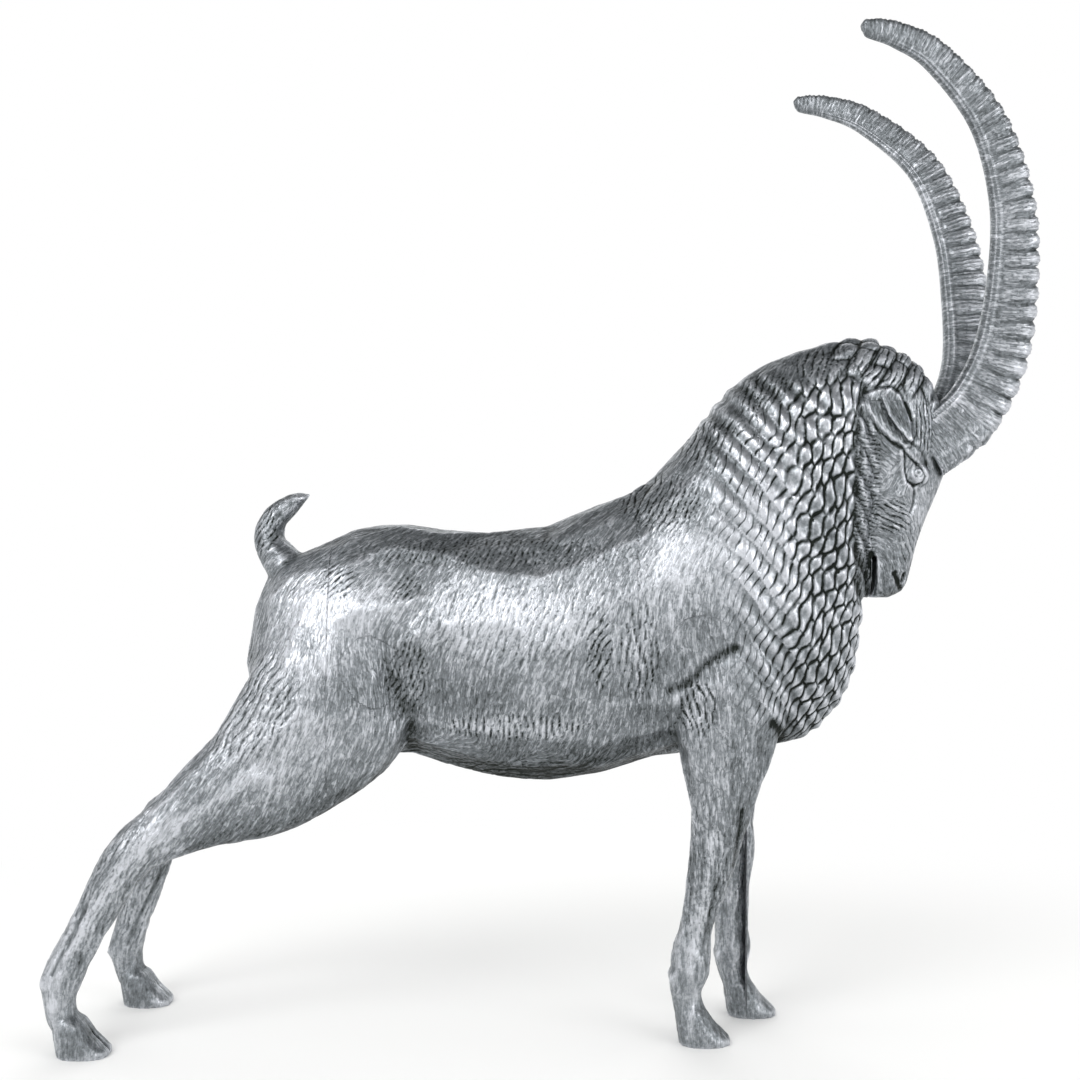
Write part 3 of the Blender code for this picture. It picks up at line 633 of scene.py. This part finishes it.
def carved(shape, head):
    """A carved surface of the casting or its head, and what its finish reads at each point."""
    surface = blank_casting(shape.head_voxel if head else shape.voxel, head)
    x, _, z = surface.points.T
    fine = smooth_step(137, 148, x) * smooth_step(188, 196, z)
    hoof = 1 - smooth_step(15, 24, z)
    curls = smooth_step(282, 290, z) * smooth_step(114, 124, x)
    share = (1 - 0.55 * fine) * (1 - 0.7 * hoof) * (1 - 0.4 * curls) * smooth_step(0.5, 1.5, z)
    surface.points[:, 0] -= MOUTH_BACK * hump((x - 147.5) / 4.5) ** 2 * fine * (1 - smooth_step(212, 222, z))
    surface.settle(share, 8.0)
    surface.melt(hump((surface.points[:, 2] - 20) / 6), 5.0)
    if head:
        surface.melt(within_ear(surface.points), 2.2)
    normals = unit(surface.blurred(surface.normals(), 1.2))
    points = surface.points
    near = as_near(points)
    x, z = points[:, 0] + (near[:, 0] - points[:, 0]) * smooth_step(126, 134, points[:, 0]), points[:, 2]
    sides = smooth_step(0.12, 0.4, np.abs(normals[:, 1]))
    way = flow_directions(np.stack([x, x, z], axis=1), normals)
    mane = mane_share(x, z)
    row, stroke = mane_grid(points, shape)
    near_face = smooth_step(90, 116, x)
    lift = carve_mane(row, stroke, mane, near_face, shape)
    furrow_lift, furrow_line = carve_furrows(x, z)
    cut_lift, cut_line = carve_cuts(x, z)
    eye_lift, eye_line = carve_eye(x, z)
    curl_lift, curl_line = carve_curls(points, shape)
    lift += curl_lift + (1 - 0.8 * mane) * furrow_lift + (cut_lift + eye_lift) * sides
    line = np.maximum((1 - 0.8 * mane) * furrow_line, curl_line)
    line = np.maximum(line, np.maximum(cut_line, eye_line) * sides)
    # Tone: oxide patches and painted shade make it darker, buffed metal and painted highlights lighter
    tone = patches(PATCHES, x, z) - patches(BRIGHT, x, z)
    if head:
        ear_lift, ear_line, ear_tone = carve_ear(points, normals)
        lift += ear_lift
        line = np.maximum(line, ear_line)
        tone += ear_tone
    region = (1 - 0.9 * mane) * smooth_step(18, 26, z) * (1 - 0.7 * fine_face(x, z)) + 1e-4
    strokes = carve_strokes(surface, normals, way, region, shape)
    lift -= strokes * shape.stroke_depth * np.minimum(1, region + 0.1)
    wide = surface.blurred(points, 7.0)
    surface.points = points + normals * (lift * smooth_step(SOLE_PLAIN, SOLE_CARVED, z))[:, None]
    small = np.sum((surface.blurred(surface.points, 2.2) - surface.points) * normals, axis=1)
    large = np.sum((wide - surface.points) * normals, axis=1)
    # Lighter ridges down the legs: buffed metal and painted highlight
    for side, lines in LEG_SHEEN_AND_WEAR.items():
        here = smooth_step(-2, 2, side * (points[:, 1] - SHIFT[1]))
        for run, half in lines:
            tone -= 0.55 * here * hump(line_distance(run, points[:, 0], points[:, 2]) / half)
    # Hooves are darker; the back and the underside get painted shade, wide hollows painted shade and wide
    # bulges a painted highlight
    tone += 0.4 * (1 - smooth_step(12, 22, z))
    tone += 0.3 * smooth_step(0.5, 0.95, normals[:, 2]) * smooth_step(150, 200, z)
    tone += 0.6 * smooth_step(0.2, 0.9, -normals[:, 2]) * smooth_step(60, 90, z)
    tone += np.clip(large * 0.12, -0.25, 0.5)
    calm = np.maximum(mane, 0.6 * (1 - smooth_step(40, 90, z)))
    # The hollow value darkens small hollows, as patina and as painted shade
    values = {"hollow": np.clip(0.5 + small * 1.5, 0, 1), "tone": tone, "line": line, "way": way,
              "calm": calm, "mane": mane, "row": row, "stroke": stroke, "near_face": near_face}
    return surface, values


def fine_face(x, z):
    """Where the face is too finely carved for loose strokes."""
    return smooth_step(137, 141, x) * smooth_step(188, 196, z)


def closed_part(surface, keep, values, name):
    """The kept faces as a piece of its own, with each cut closed by a cap inside the casting."""
    faces = surface.faces[keep]
    used = np.unique(faces)
    index = np.full(len(surface.points), -1)
    index[used] = np.arange(len(used))
    points = surface.points[used]
    lists = index[faces].tolist()
    for face in lists:
        if face[2] == face[3]:
            face.pop()
    half = {(a, b) for face in lists for a, b in zip(face, face[1:] + face[:1])}
    onward = {}
    for a, b in sorted(half):
        if (b, a) not in half:
            onward.setdefault(b, []).append(a)
    extra = []
    caps = []
    while onward:
        at = start = next(iter(onward))
        loop = []
        while at != start or not loop:
            loop.append(at)
            after = onward[at].pop()
            if not onward[at]:
                del onward[at]
            at = after
        hub = len(points) + len(extra)
        extra.append(points[loop].mean(axis=0))
        caps += [[a, b, hub] for a, b in zip(loop, loop[1:] + loop[:1])]
    if extra:
        points = np.vstack([points, extra])
    mesh = mesh_from(name, points, lists + caps)
    mesh.polygons.foreach_set("use_smooth", [True] * len(lists) + [False] * len(caps))
    for key, value in values.items():
        part = value[used]
        set_attribute(mesh, key, np.concatenate([part, np.zeros((len(extra),) + part.shape[1:])]))
    return mesh


def chased_lines(tree, cell, pitch, length, seed):
    """Height of fine strokes that follow the coat's way, in tufts of one cell each, and the lines between."""
    place = add(tree, "ShaderNodeTexCoord").outputs["Object"]
    shift = (seed * 7.3, seed * 3.1, seed * 5.7)
    scaled = add(tree, "ShaderNodeVectorMath", place, (1 / (cell * MM),) * 3, shift, operation="MULTIPLY_ADD")
    cells = add(tree, "ShaderNodeTexVoronoi", named={"Vector": scaled, "Scale": 1.0}).outputs
    local = add(tree, "ShaderNodeVectorMath", scaled, cells["Position"], operation="SUBTRACT")
    way = add(tree, "ShaderNodeAttribute", attribute_name="way").outputs["Vector"]
    out = add(tree, "ShaderNodeNewGeometry").outputs["Normal"]
    across = add(tree, "ShaderNodeVectorMath", way, out, operation="CROSS_PRODUCT")
    u, v = (add(tree, "ShaderNodeVectorMath", local, side, operation="DOT_PRODUCT").outputs["Value"]
            for side in (way, across))
    u = add(tree, "MULTIPLY", u, cell / length)
    v = add(tree, "MULTIPLY", v, cell / pitch)
    random = chain(tree, add(tree, "ShaderNodeSeparateColor", cells["Color"]), ("MULTIPLY", 90.0))
    where = add(tree, "ShaderNodeCombineXYZ", u, v, random)
    height = add(tree, "ShaderNodeTexNoise", named={"Vector": where, "Scale": 1.0, "Detail": 2.0})
    away = chain(tree, height, ("SUBTRACT", 0.5), ("ABSOLUTE",))
    line = add(tree, MAP_RANGE, away, 0.0, 0.055, 1.0, 0.0, **SMOOTH)
    return height, line


def mane_lines(tree):
    """Thin dark cuts between the mane's strokes and rows, from the same rows and strokes as the carving."""
    row, stroke, share, near_face = (add(tree, "ShaderNodeAttribute", attribute_name=name).outputs["Fac"]
                                     for name in ("row", "stroke", "mane", "near_face"))
    number = add(tree, "FLOOR", row)
    inside = add(tree, "SUBTRACT", row, number)
    shuffle = chain(tree, number, ("MULTIPLY", GOLDEN), ("FRACT",))
    far = add(tree, "SUBTRACT", 1.0, near_face)
    run = chain(tree, inside, ("MULTIPLY", 2 * math.pi), ("SINE",), ("MULTIPLY_ADD", STROKE_SWAY, shuffle),
                ("MULTIPLY_ADD", far, stroke))
    # By the face the strokes sway against each other and bound leaves, set like bricks
    column = add(tree, "FLOOR", run)
    part = add(tree, "SUBTRACT", run, column)
    sign = chain(tree, column, ("MULTIPLY", math.pi), ("COSINE",))
    leaf = add(tree, "MULTIPLY", row, LEAVES_IN_ROW)
    weave = chain(tree, leaf, ("MULTIPLY", 2 * math.pi), ("COSINE",), ("MULTIPLY", sign),
                  ("MULTIPLY", near_face), ("MULTIPLY", LEAF_SWELL))
    first = chain(tree, part, ("SUBTRACT", weave), ("ABSOLUTE",))
    second = chain(tree, 1.0, ("SUBTRACT", part), ("SUBTRACT", weave), ("ABSOLUTE",))
    uncut = add(tree, "MULTIPLY", far, 0.5)
    tip = chain(tree, column, ("MULTIPLY_ADD", 0.5, leaf), ("PINGPONG", 0.5),
                ("MULTIPLY_ADD", LEAF_LENGTH, uncut))
    away = chain(tree, first, ("MINIMUM", second), ("MINIMUM", tip))
    place = add(tree, "ShaderNodeTexCoord").outputs["Object"]
    uneven = add(tree, "ShaderNodeTexNoise", named={"Vector": place, "Scale": 170.0, "Detail": 1.0})
    # A cut is about 0.5 mm wide, and wider by the face
    edge = add(tree, "MULTIPLY_ADD", near_face, 0.06, 0.12)
    cut = add(tree, MAP_RANGE, away, 0.02, edge, 1.0, 0.0, **SMOOTH)
    # Away from the face it stops short of the next row, at a thin light edge
    end = add(tree, MAP_RANGE, add(tree, "PINGPONG", inside, 0.5), 0.02, 0.12, **SMOOTH)
    end = add(tree, "MAXIMUM", end, near_face)
    fade = add(tree, MAP_RANGE, uneven, 0.36, 0.52, 0.15, 1.0)
    return chain(tree, cut, ("MULTIPLY", end), ("MULTIPLY", fade), ("MULTIPLY", share)), share


def aged_casting(finish):
    """Cast silver-coloured metal, darkened all over and then buffed: hollows stay near black with a faint
    green, as patina and painted shade, and what a cloth reaches is bright and satin. The tone adds painted
    highlights and painted shade to that. Fine chased strokes break up every reflection.
    """
    made = bpy.data.materials.new(METAL)
    made.use_nodes = True
    tree = made.node_tree
    shader = tree.nodes["Principled BSDF"]
    hollow, tone, line, calm = (add(tree, "ShaderNodeAttribute", attribute_name=name).outputs["Fac"]
                                for name in ("hollow", "tone", "line", "calm"))
    place = add(tree, "ShaderNodeTexCoord").outputs["Object"]
    # Uneven darkening in patches of about 15 mm, and flecks of about 1 mm
    cloud = add(tree, "ShaderNodeTexNoise", named={"Vector": place, "Scale": 66.0, "Detail": 3.0})
    fleck = add(tree, "ShaderNodeTexNoise",
                named={"Vector": place, "Scale": 700.0, "Detail": 3.0, "Roughness": 0.6})
    coarse, coarse_line = chased_lines(tree, 8.0, 1.35, 8.0, 1)
    fine, fine_line = chased_lines(tree, 5.0, 0.8, 5.0, 2)
    mane, share = mane_lines(tree)
    plain = add(tree, "MULTIPLY_ADD", calm, -0.75, 1.0)
    hair = chain(tree, coarse, ("ADD", fine), ("SUBTRACT", 1.0), ("MULTIPLY", plain))
    cuts = add(tree, "MULTIPLY", coarse_line, 0.6)
    cuts = chain(tree, fine_line, ("MULTIPLY_ADD", 0.35, cuts), ("MULTIPLY", plain))
    deep = add(tree, "MAXIMUM", mane, line)
    # Small hollows darken: patina and painted shade
    dark = add(tree, "MULTIPLY_ADD", hollow, 0.9, finish.darkness - 0.95)
    # The tone carries oxide and buffed wear, and painted highlights and painted shade too
    weights = ((tone, 0.42), (share, -0.1), (cloud, 0.5), (fleck, 0.5), (hair, -0.7), (cuts, 0.34))
    for value, weight in weights:
        dark = add(tree, "MULTIPLY_ADD", value, weight, dark)
    dark = add(tree, "MULTIPLY_ADD", deep, 0.55, dark, use_clamp=True)
    ramp = add(tree, "ShaderNodeValToRGB", dark)
    ramp.color_ramp.elements[0].color = finish.buffed
    ramp.color_ramp.elements[1].color = finish.hollow
    ramp.color_ramp.elements.new(0.45).color = finish.satin
    tree.links.new(ramp.outputs["Color"], shader.inputs["Base Color"])
    shader.inputs["Metallic"].default_value = 1.0
    rough = add(tree, MAP_RANGE, dark, 0.0, 1.0, finish.buffed_roughness, finish.hollow_roughness)
    rough = add(tree, "MULTIPLY_ADD", fleck, 0.15, rough)
    tree.links.new(rough.outputs[0], shader.inputs["Roughness"])
    height = hair
    for value, weight in ((cuts, -0.35), (deep, -0.8), (fleck, 0.25)):
        height = add(tree, "MULTIPLY_ADD", value, weight, height)
    relief = add(tree, "ShaderNodeBump",
                 named={"Height": height, "Distance": finish.relief * MM, "Strength": 1.0})
    tree.links.new(relief.outputs[0], shader.inputs["Normal"])
    return made


def horn_blank(outwards, rings, sides):
    """A plain horn with the values that its ridges follow at each point."""
    rows = curve_rows([(x, outwards * y, z, deep, wide) for x, y, z, deep, wide in HORN], 40)
    length = np.concatenate([[0], np.cumsum(np.linalg.norm(np.diff(rows[:, :3], axis=0), axis=1))])
    even = np.linspace(0, length[-1], rings)
    rows = np.stack([np.interp(even, length, rows[:, k]) for k in range(5)], axis=1)
    ahead = unit(np.gradient(rows[:, :3], axis=0))
    side = unit(np.array([0.0, 1.0, 0.0]) - ahead * ahead[:, 1:2])
    front = np.cross(side, ahead)
    angle = 2 * math.pi * np.arange(sides) / sides
    power = 2.0 / HORN_SQUARENESS
    forward = np.sign(np.cos(angle)) * np.abs(np.cos(angle)) ** power
    across = np.sign(np.sin(angle)) * np.abs(np.sin(angle)) ** power
    narrow = 1 - HORN_BACK_TAPER * (1 - forward) / 2
    points = placed(rows[:, None, :3] + front[:, None] * (rows[:, 3:4] * forward)[:, :, None]
                    + side[:, None] * (rows[:, 4:5] * across * narrow)[:, :, None])
    way = unit(np.roll(points, -1, axis=1) - np.roll(points, 1, axis=1)).reshape(-1, 3)
    points = points.reshape(-1, 3)
    k = np.arange(sides)
    j = (k + 1) % sides
    faces = np.concatenate([np.stack([k, j, sides + j, sides + k], axis=1) + i * sides
                            for i in range(rings - 1)]).tolist()
    base = len(points)
    points = np.vstack([points, points[:sides].mean(axis=0), points[-sides:].mean(axis=0)])
    top = (rings - 1) * sides
    faces += [[b, a, base] for a, b in zip(k, j)] + [[top + a, top + b, base + 1] for a, b in zip(k, j)]
    mesh = mesh_from("horn", points, faces)
    work = bmesh.new()
    work.from_mesh(mesh)
    bmesh.ops.recalc_face_normals(work, faces=work.faces)
    work.to_mesh(mesh)
    work.free()
    along = np.append(np.repeat(even, sides), [0, length[-1]])
    values = {"along": along, "front": np.append(np.tile(np.cos(angle), rings), [0, 0]),
              "share": along / length[-1], "way": np.vstack([way, np.zeros((2, 3))])}
    for name, value in values.items():
        set_attribute(mesh, name, value)
    return mesh


def ridge_tree(material):
    """Geometry nodes that press cross ridges, wrinkles and edge lines into a plain horn."""
    tree = bpy.data.node_groups.new("Horn ridges", "GeometryNodeTree")
    face = tree.interface
    face.new_socket("Geometry", in_out="INPUT", socket_type="NodeSocketGeometry")
    for name in ("Ridge pitch", "Ridge height", "Wrinkle pitch", "Wrinkle height", "Edge line height",
                 "Root tone", "Seed"):
        face.new_socket(name, in_out="INPUT", socket_type="NodeSocketFloat")
    face.new_socket("Geometry", in_out="OUTPUT", socket_type="NodeSocketGeometry")
    given = tree.nodes.new("NodeGroupInput").outputs
    along, front, share = (add(tree, "GeometryNodeInputNamedAttribute", name, data_type="FLOAT")
                           for name in ("along", "front", "share"))
    place = add(tree, "GeometryNodeInputPosition")
    wobbly, uneven = (add(tree, "ShaderNodeTexNoise", noise_dimensions="4D",
                          named={"Vector": place, "W": given["Seed"], "Scale": scale, "Detail": detail})
                      for scale, detail in ((90.0, 1.0), (260.0, 2.0)))
    # Ridges stand closer together towards the tip, as the horn grew more slowly
    grown = chain(tree, share, ("MULTIPLY_ADD", 0.22, 1.0), ("MULTIPLY", along))
    ridge = chain(tree, wobbly, ("MULTIPLY_ADD", 3.2, grown), ("DIVIDE", given["Ridge pitch"]),
                  ("MULTIPLY", math.pi), ("SINE",), ("ABSOLUTE",), ("POWER", 0.62), ("SUBTRACT", 0.45),
                  ("MULTIPLY", given["Ridge height"]))
    # They stand out along the front edge and only ripple the sides
    faced = add(tree, MAP_RANGE, front, -0.5, -0.25, **SMOOTH)
    edged = add(tree, MAP_RANGE, front, 0.1, 0.8, 0.38, 1.0, **SMOOTH)
    begun = add(tree, MAP_RANGE, share, 0.03, 0.16, **SMOOTH)
    faded = add(tree, MAP_RANGE, share, 0.45, 0.93, 1.0, 0.2, **SMOOTH)
    ridge = chain(tree, ridge, *(("MULTIPLY", part) for part in (faced, edged, begun, faded)))
    sided = add(tree, MAP_RANGE, front, -0.55, -0.1, **SMOOTH)
    pitted = add(tree, MAP_RANGE, uneven, 0.35, 0.6, 0.2, 1.0)
    fine = chain(tree, wobbly, ("MULTIPLY_ADD", 3.0, along), ("DIVIDE", given["Wrinkle pitch"]),
                 ("MULTIPLY", 2 * math.pi), ("SINE",), ("MULTIPLY", given["Wrinkle height"]),
                 ("MULTIPLY", sided), ("MULTIPLY", pitted))
    # Two raised lines run up the hollow side, at these places round the horn
    first, second = (chain(tree, front, ("ADD", middle), ("DIVIDE", half), ("POWER", 2.0), ("MULTIPLY", -1.0),
                           ("EXPONENT",)) for middle, half in ((0.62, 0.07), (0.84, 0.05)))
    ended = add(tree, MAP_RANGE, share, 0.85, 0.98, 1.0, 0.0, **SMOOTH)
    lines = chain(tree, first, ("ADD", second), ("MULTIPLY", given["Edge line height"]), ("MULTIPLY", ended))
    lift = chain(tree, ridge, ("ADD", fine), ("ADD", lines))
    out = add(tree, "GeometryNodeInputNormal")
    scaled = add(tree, "MULTIPLY", lift, MM)
    offset = add(tree, "ShaderNodeVectorMath", out, operation="SCALE", named={"Scale": scaled})
    moved = add(tree, "GeometryNodeSetPosition", given["Geometry"], named={"Offset": offset})
    # Grooves between the ridges darken: patina and painted shade
    hollow = add(tree, "MULTIPLY_ADD", lift, -0.55, 0.62)
    # The root of the horn has a tone of its own, on the far horn a painted shadow, and the rest is rubbed a
    # little
    root = add(tree, MAP_RANGE, share, 0.05, 0.2, given["Root tone"], -0.1, **SMOOTH)
    kept = moved
    for name, value in (("hollow", hollow), ("tone", root)):
        kept = add(tree, "GeometryNodeStoreNamedAttribute", data_type="FLOAT", domain="POINT",
                   named={"Geometry": kept, "Name": name, "Value": value})
    real = add(tree, "GeometryNodeRealizeInstances", kept)
    last = add(tree, "GeometryNodeSetMaterial", real, named={"Material": material})
    tree.links.new(last.outputs[0], tree.nodes.new("NodeGroupOutput").inputs[0])
    return tree


def set_inputs(modifier, values):
    """Sets a geometry nodes modifier's inputs by the identifiers of their sockets."""
    for item in modifier.node_group.interface.items_tree:
        if item.in_out == "INPUT" and item.name in values:
            modifier[item.identifier] = values[item.name]


def finish_piece(obj, material):
    """A finished piece rides on the casting's body, stands for its solid and wears its metal."""
    obj.data.materials.clear()
    obj.data.materials.append(material)
    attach(obj, "root")
    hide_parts(CASTING)


def metal_of(context):
    return bpy.data.materials.get(METAL) or aged_casting(context.scene.ram_finish)


def length(name, description, default):
    return bpy.props.FloatProperty(name=name, description=description + ", mm", default=default)


def factor(name, description, default):
    return bpy.props.FloatProperty(name=name, description=description, subtype="FACTOR", default=default)


def power(name, description, default):
    return bpy.props.FloatProperty(name=name, description=description, unit="POWER", default=default)


def colour(name, description, code):
    return bpy.props.FloatVectorProperty(name=name, description=description, subtype="COLOR", size=4,
                                         default=linear(code))


class RamShape(bpy.types.PropertyGroup):
    """Sizes of the carving."""

    voxel: length("Face size", "Size of the body's faces", 0.8)
    head_voxel: length("Head face size", "Size of the head's faces", 0.5)
    row_pitch: length("Mane row pitch", "Height between mane rows", 13.4)
    row_height: length("Mane row height", "Height of the line between mane rows", 0.35)
    lock_depth: length("Lock depth", "Depth of the mane strokes", 0.65)
    lock_pitch: length("Lock pitch", "Distance between mane strokes", 3.7)
    curl_size: length("Curl size", "Size of a curl on the poll", 8)
    curl_height: length("Curl height", "Height of a curl", 1.8)
    stroke_length: length("Stroke length", "Length of a coat stroke", 7)
    stroke_width: length("Stroke width", "Width of a coat stroke", 1.5)
    stroke_depth: length("Stroke depth", "Depth of a coat stroke", 0.2)
    stroke_spacing: length("Stroke spacing", "Gap between coat strokes", 2.4)


class RamHorns(bpy.types.PropertyGroup):
    """Sizes of the horns' relief."""

    ridge_pitch: length("Ridge pitch", "Distance between ridges", 8.6)
    ridge_height: length("Ridge height", "Height of a ridge", 1.9)
    wrinkle_pitch: length("Wrinkle pitch", "Distance between wrinkles", 1.9)
    wrinkle_height: length("Wrinkle height", "Height of a wrinkle", 0.28)
    line_height: length("Edge line height", "Height of the edge lines", 0.55)


class RamFinish(bpy.types.PropertyGroup):
    """Colours and gloss of the metal."""

    buffed: colour("Buffed", "Colour of rubbed metal", "#d2d5db")
    satin: colour("Satin", "Colour of half-rubbed metal", "#868b8f")
    hollow: colour("Hollow", "Colour left in hollows", "#272b28")
    darkness: factor("Darkness", "How dark the metal is overall", 0.37)
    relief: length("Fine relief", "Depth of the finest strokes", 0.3)
    buffed_roughness: factor("Buffed roughness", "Roughness of rubbed metal", 0.26)
    hollow_roughness: factor("Hollow roughness", "Roughness of dark metal", 0.5)


class RamStage(bpy.types.PropertyGroup):
    """Floor and light."""

    floor: colour("Floor", "Colour of the floor", "#f6f6f5")
    key_power: power("Key light", "Power of the main light", 5.5)
    fill_power: power("Fill light", "Power of the soft lights", 3)
    overhead: factor("Overhead", "Brightness of the studio above", 0.3)


class RAM_OT_body(bpy.types.Operator):
    """Carve the coat and mane into the casting"""

    bl_idname = "ram.body"
    bl_label = "Body, mane and legs"

    def execute(self, context):
        surface, values = carved(context.scene.ram_shape, False)
        x, _, z = surface.points[surface.faces].mean(axis=1).T
        body = (x < np.interp(z, *zip(*FACE_EDGE)) + OVERLAP) | (z < FACE_LOWEST + OVERLAP)
        edges = (-math.inf,) + SEAMS + (math.inf,)
        for name, low, high in zip(BODY_PIECES, edges, edges[1:]):
            mesh = closed_part(surface, body & (x >= low) & (x < high), values, name)
            finish_piece(new_object(name, mesh), metal_of(context))
        return {"FINISHED"}


class RAM_OT_head(bpy.types.Operator):
    """Carve the face, eyes, ears and topknot into the casting's head"""

    bl_idname = "ram.head"
    bl_label = "Head"

    def execute(self, context):
        surface, values = carved(context.scene.ram_shape, True)
        x, _, z = surface.points[surface.faces].mean(axis=1).T
        face = (x > np.interp(z, *zip(*FACE_EDGE)) - OVERLAP) & (z > FACE_LOWEST - OVERLAP)
        mesh = closed_part(surface, face, values, "head")
        finish_piece(new_object("head", mesh), metal_of(context))
        return {"FINISHED"}


class RAM_OT_horns(bpy.types.Operator):
    """Build both horns with their ridges"""

    bl_idname = "ram.horns"
    bl_label = "Horns"

    def execute(self, context):
        sizes = context.scene.ram_horns
        tree = ridge_tree(metal_of(context))
        # The far horn's root lies in the hollow of the poll, and its dark root tone is painted shadow
        for side, outwards, root in (("near", -1, -0.2), ("far", 1, 1.3)):
            obj = new_object(f"horn_{side}", horn_blank(outwards, HORN_RINGS, HORN_SIDES))
            modifier = obj.modifiers.new("ridges", "NODES")
            modifier.node_group = tree
            set_inputs(modifier, {
                "Ridge pitch": sizes.ridge_pitch, "Ridge height": sizes.ridge_height,
                "Wrinkle pitch": sizes.wrinkle_pitch, "Wrinkle height": sizes.wrinkle_height,
                "Edge line height": sizes.line_height, "Root tone": root, "Seed": 3.0 + outwards,
            })
            mesh = evaluated(obj)
            obj.modifiers.clear()
            obj.data = mesh
            mesh.shade_smooth()
            finish_piece(obj, metal_of(context))
        return {"FINISHED"}


class RAM_OT_stage(bpy.types.Operator):
    """Floor, light and camera"""

    bl_idname = "ram.stage"
    bl_label = "Floor, light and camera"

    def execute(self, context):
        scene = context.scene
        look = scene.ram_stage
        scene.view_settings.view_transform = "Standard"
        corners = [(FLOOR_HALF * x, FLOOR_HALF * y, 0) for x, y in ((-1, -1), (1, -1), (1, 1), (-1, 1))]
        floor = new_object("floor", mesh_from("floor", corners, [[0, 1, 2, 3]]))
        paper = bpy.data.materials.new("Matt white paper sweep")
        paper.use_nodes = True
        tree = paper.node_tree
        matt = tree.nodes["Principled BSDF"]
        matt.inputs["Base Color"].default_value = look.floor
        matt.inputs["Roughness"].default_value = 0.9
        # The paper keeps the shadow round the figure and is plain white further out, as the background is
        rays = add(tree, "ShaderNodeLightPath").outputs
        seen = add(tree, "MAXIMUM", rays["Is Camera Ray"], rays["Is Glossy Ray"])
        seen = add(tree, "MAXIMUM", seen, rays["Is Transmission Ray"])
        place = add(tree, "ShaderNodeTexCoord").outputs["Object"]
        away = add(tree, "ShaderNodeVectorMath", place, operation="LENGTH").outputs["Value"]
        out = add(tree, MAP_RANGE, away, *(reach * MM for reach in FLOOR_WHITE), **SMOOTH)
        share = add(tree, "MULTIPLY", out, seen)
        white = add(tree, "ShaderNodeEmission", (1, 1, 1, 1), 1.0)
        both = add(tree, "ShaderNodeMixShader", share, matt.outputs[0], white.outputs[0])
        tree.links.new(both.outputs[0], tree.nodes["Material Output"].inputs["Surface"])
        floor.data.materials.append(paper)
        for name, place, size, setting in LAMPS:
            data = bpy.data.lights.new(name, "AREA")
            data.size = size * MM
            data.energy = getattr(look, setting)
            lamp = bpy.data.objects.new(name, data)
            lamp.location = Vector(place) * MM
            aim = Vector(LAMP_TARGET) - Vector(place)
            lamp.rotation_euler = aim.to_track_quat("-Z", "Y").to_euler()
            scene.collection.objects.link(lamp)
        world = bpy.data.worlds.new("studio")
        world.use_nodes = True
        scene.world = world
        tree = world.node_tree
        tree.nodes.clear()
        rays = add(tree, "ShaderNodeLightPath").outputs
        seen = add(tree, "MAXIMUM", rays["Is Camera Ray"], rays["Is Transmission Ray"])
        # Metal sees white paper all round it and a darker studio above
        way = add(tree, "ShaderNodeSeparateXYZ", add(tree, "ShaderNodeTexCoord").outputs["Generated"])
        height = add(tree, MAP_RANGE, way.outputs["Z"], 0.1, 0.8, 1.0, look.overhead, **SMOOTH)
        level = add(tree, "MAXIMUM", height, seen)
        mirror = add(tree, "MAXIMUM", seen, rays["Is Glossy Ray"])
        white = add(tree, "ShaderNodeBackground", (1, 1, 1, 1), level)
        soft = add(tree, "ShaderNodeBackground", (1, 1, 1, 1), 0.8)
        both = add(tree, "ShaderNodeMixShader", mirror, soft.outputs[0], white.outputs[0])
        add(tree, "ShaderNodeOutputWorld", both)
        data = bpy.data.cameras.new("camera")
        data.lens = CAMERA_LENS
        data.sensor_width = CAMERA_FILM
        camera = bpy.data.objects.new("camera", data)
        camera.location = Vector(CAMERA_PLACE) * MM
        camera.rotation_euler = (math.pi / 2, 0, 0)
        scene.collection.objects.link(camera)
        scene.camera = camera
        return {"FINISHED"}


class RAM_PT_panel(bpy.types.Panel):
    """Lists the pieces of the figurine"""

    bl_label = "Ram figurine"
    bl_space_type = "VIEW_3D"
    bl_region_type = "UI"
    bl_category = "Ram figurine"

    def draw(self, context):
        for kind in OPERATORS:
            self.layout.operator(kind.bl_idname)


GROUPS = {"ram_shape": RamShape, "ram_horns": RamHorns, "ram_finish": RamFinish, "ram_stage": RamStage}
OPERATORS = (RAM_OT_body, RAM_OT_head, RAM_OT_horns, RAM_OT_stage)


def register():
    for name, kind in GROUPS.items():
        bpy.utils.register_class(kind)
        setattr(bpy.types.Scene, name, bpy.props.PointerProperty(type=kind))
    for kind in OPERATORS + (RAM_PT_panel,):
        bpy.utils.register_class(kind)


def unregister():
    for kind in (RAM_PT_panel,) + OPERATORS:
        bpy.utils.unregister_class(kind)
    for name, kind in GROUPS.items():
        delattr(bpy.types.Scene, name)
        bpy.utils.unregister_class(kind)


def main():
    register()
    bpy.ops.ram.body()
    bpy.ops.ram.head()
    bpy.ops.ram.horns()
    bpy.ops.ram.stage()


if __name__ == "__main__":
    main()
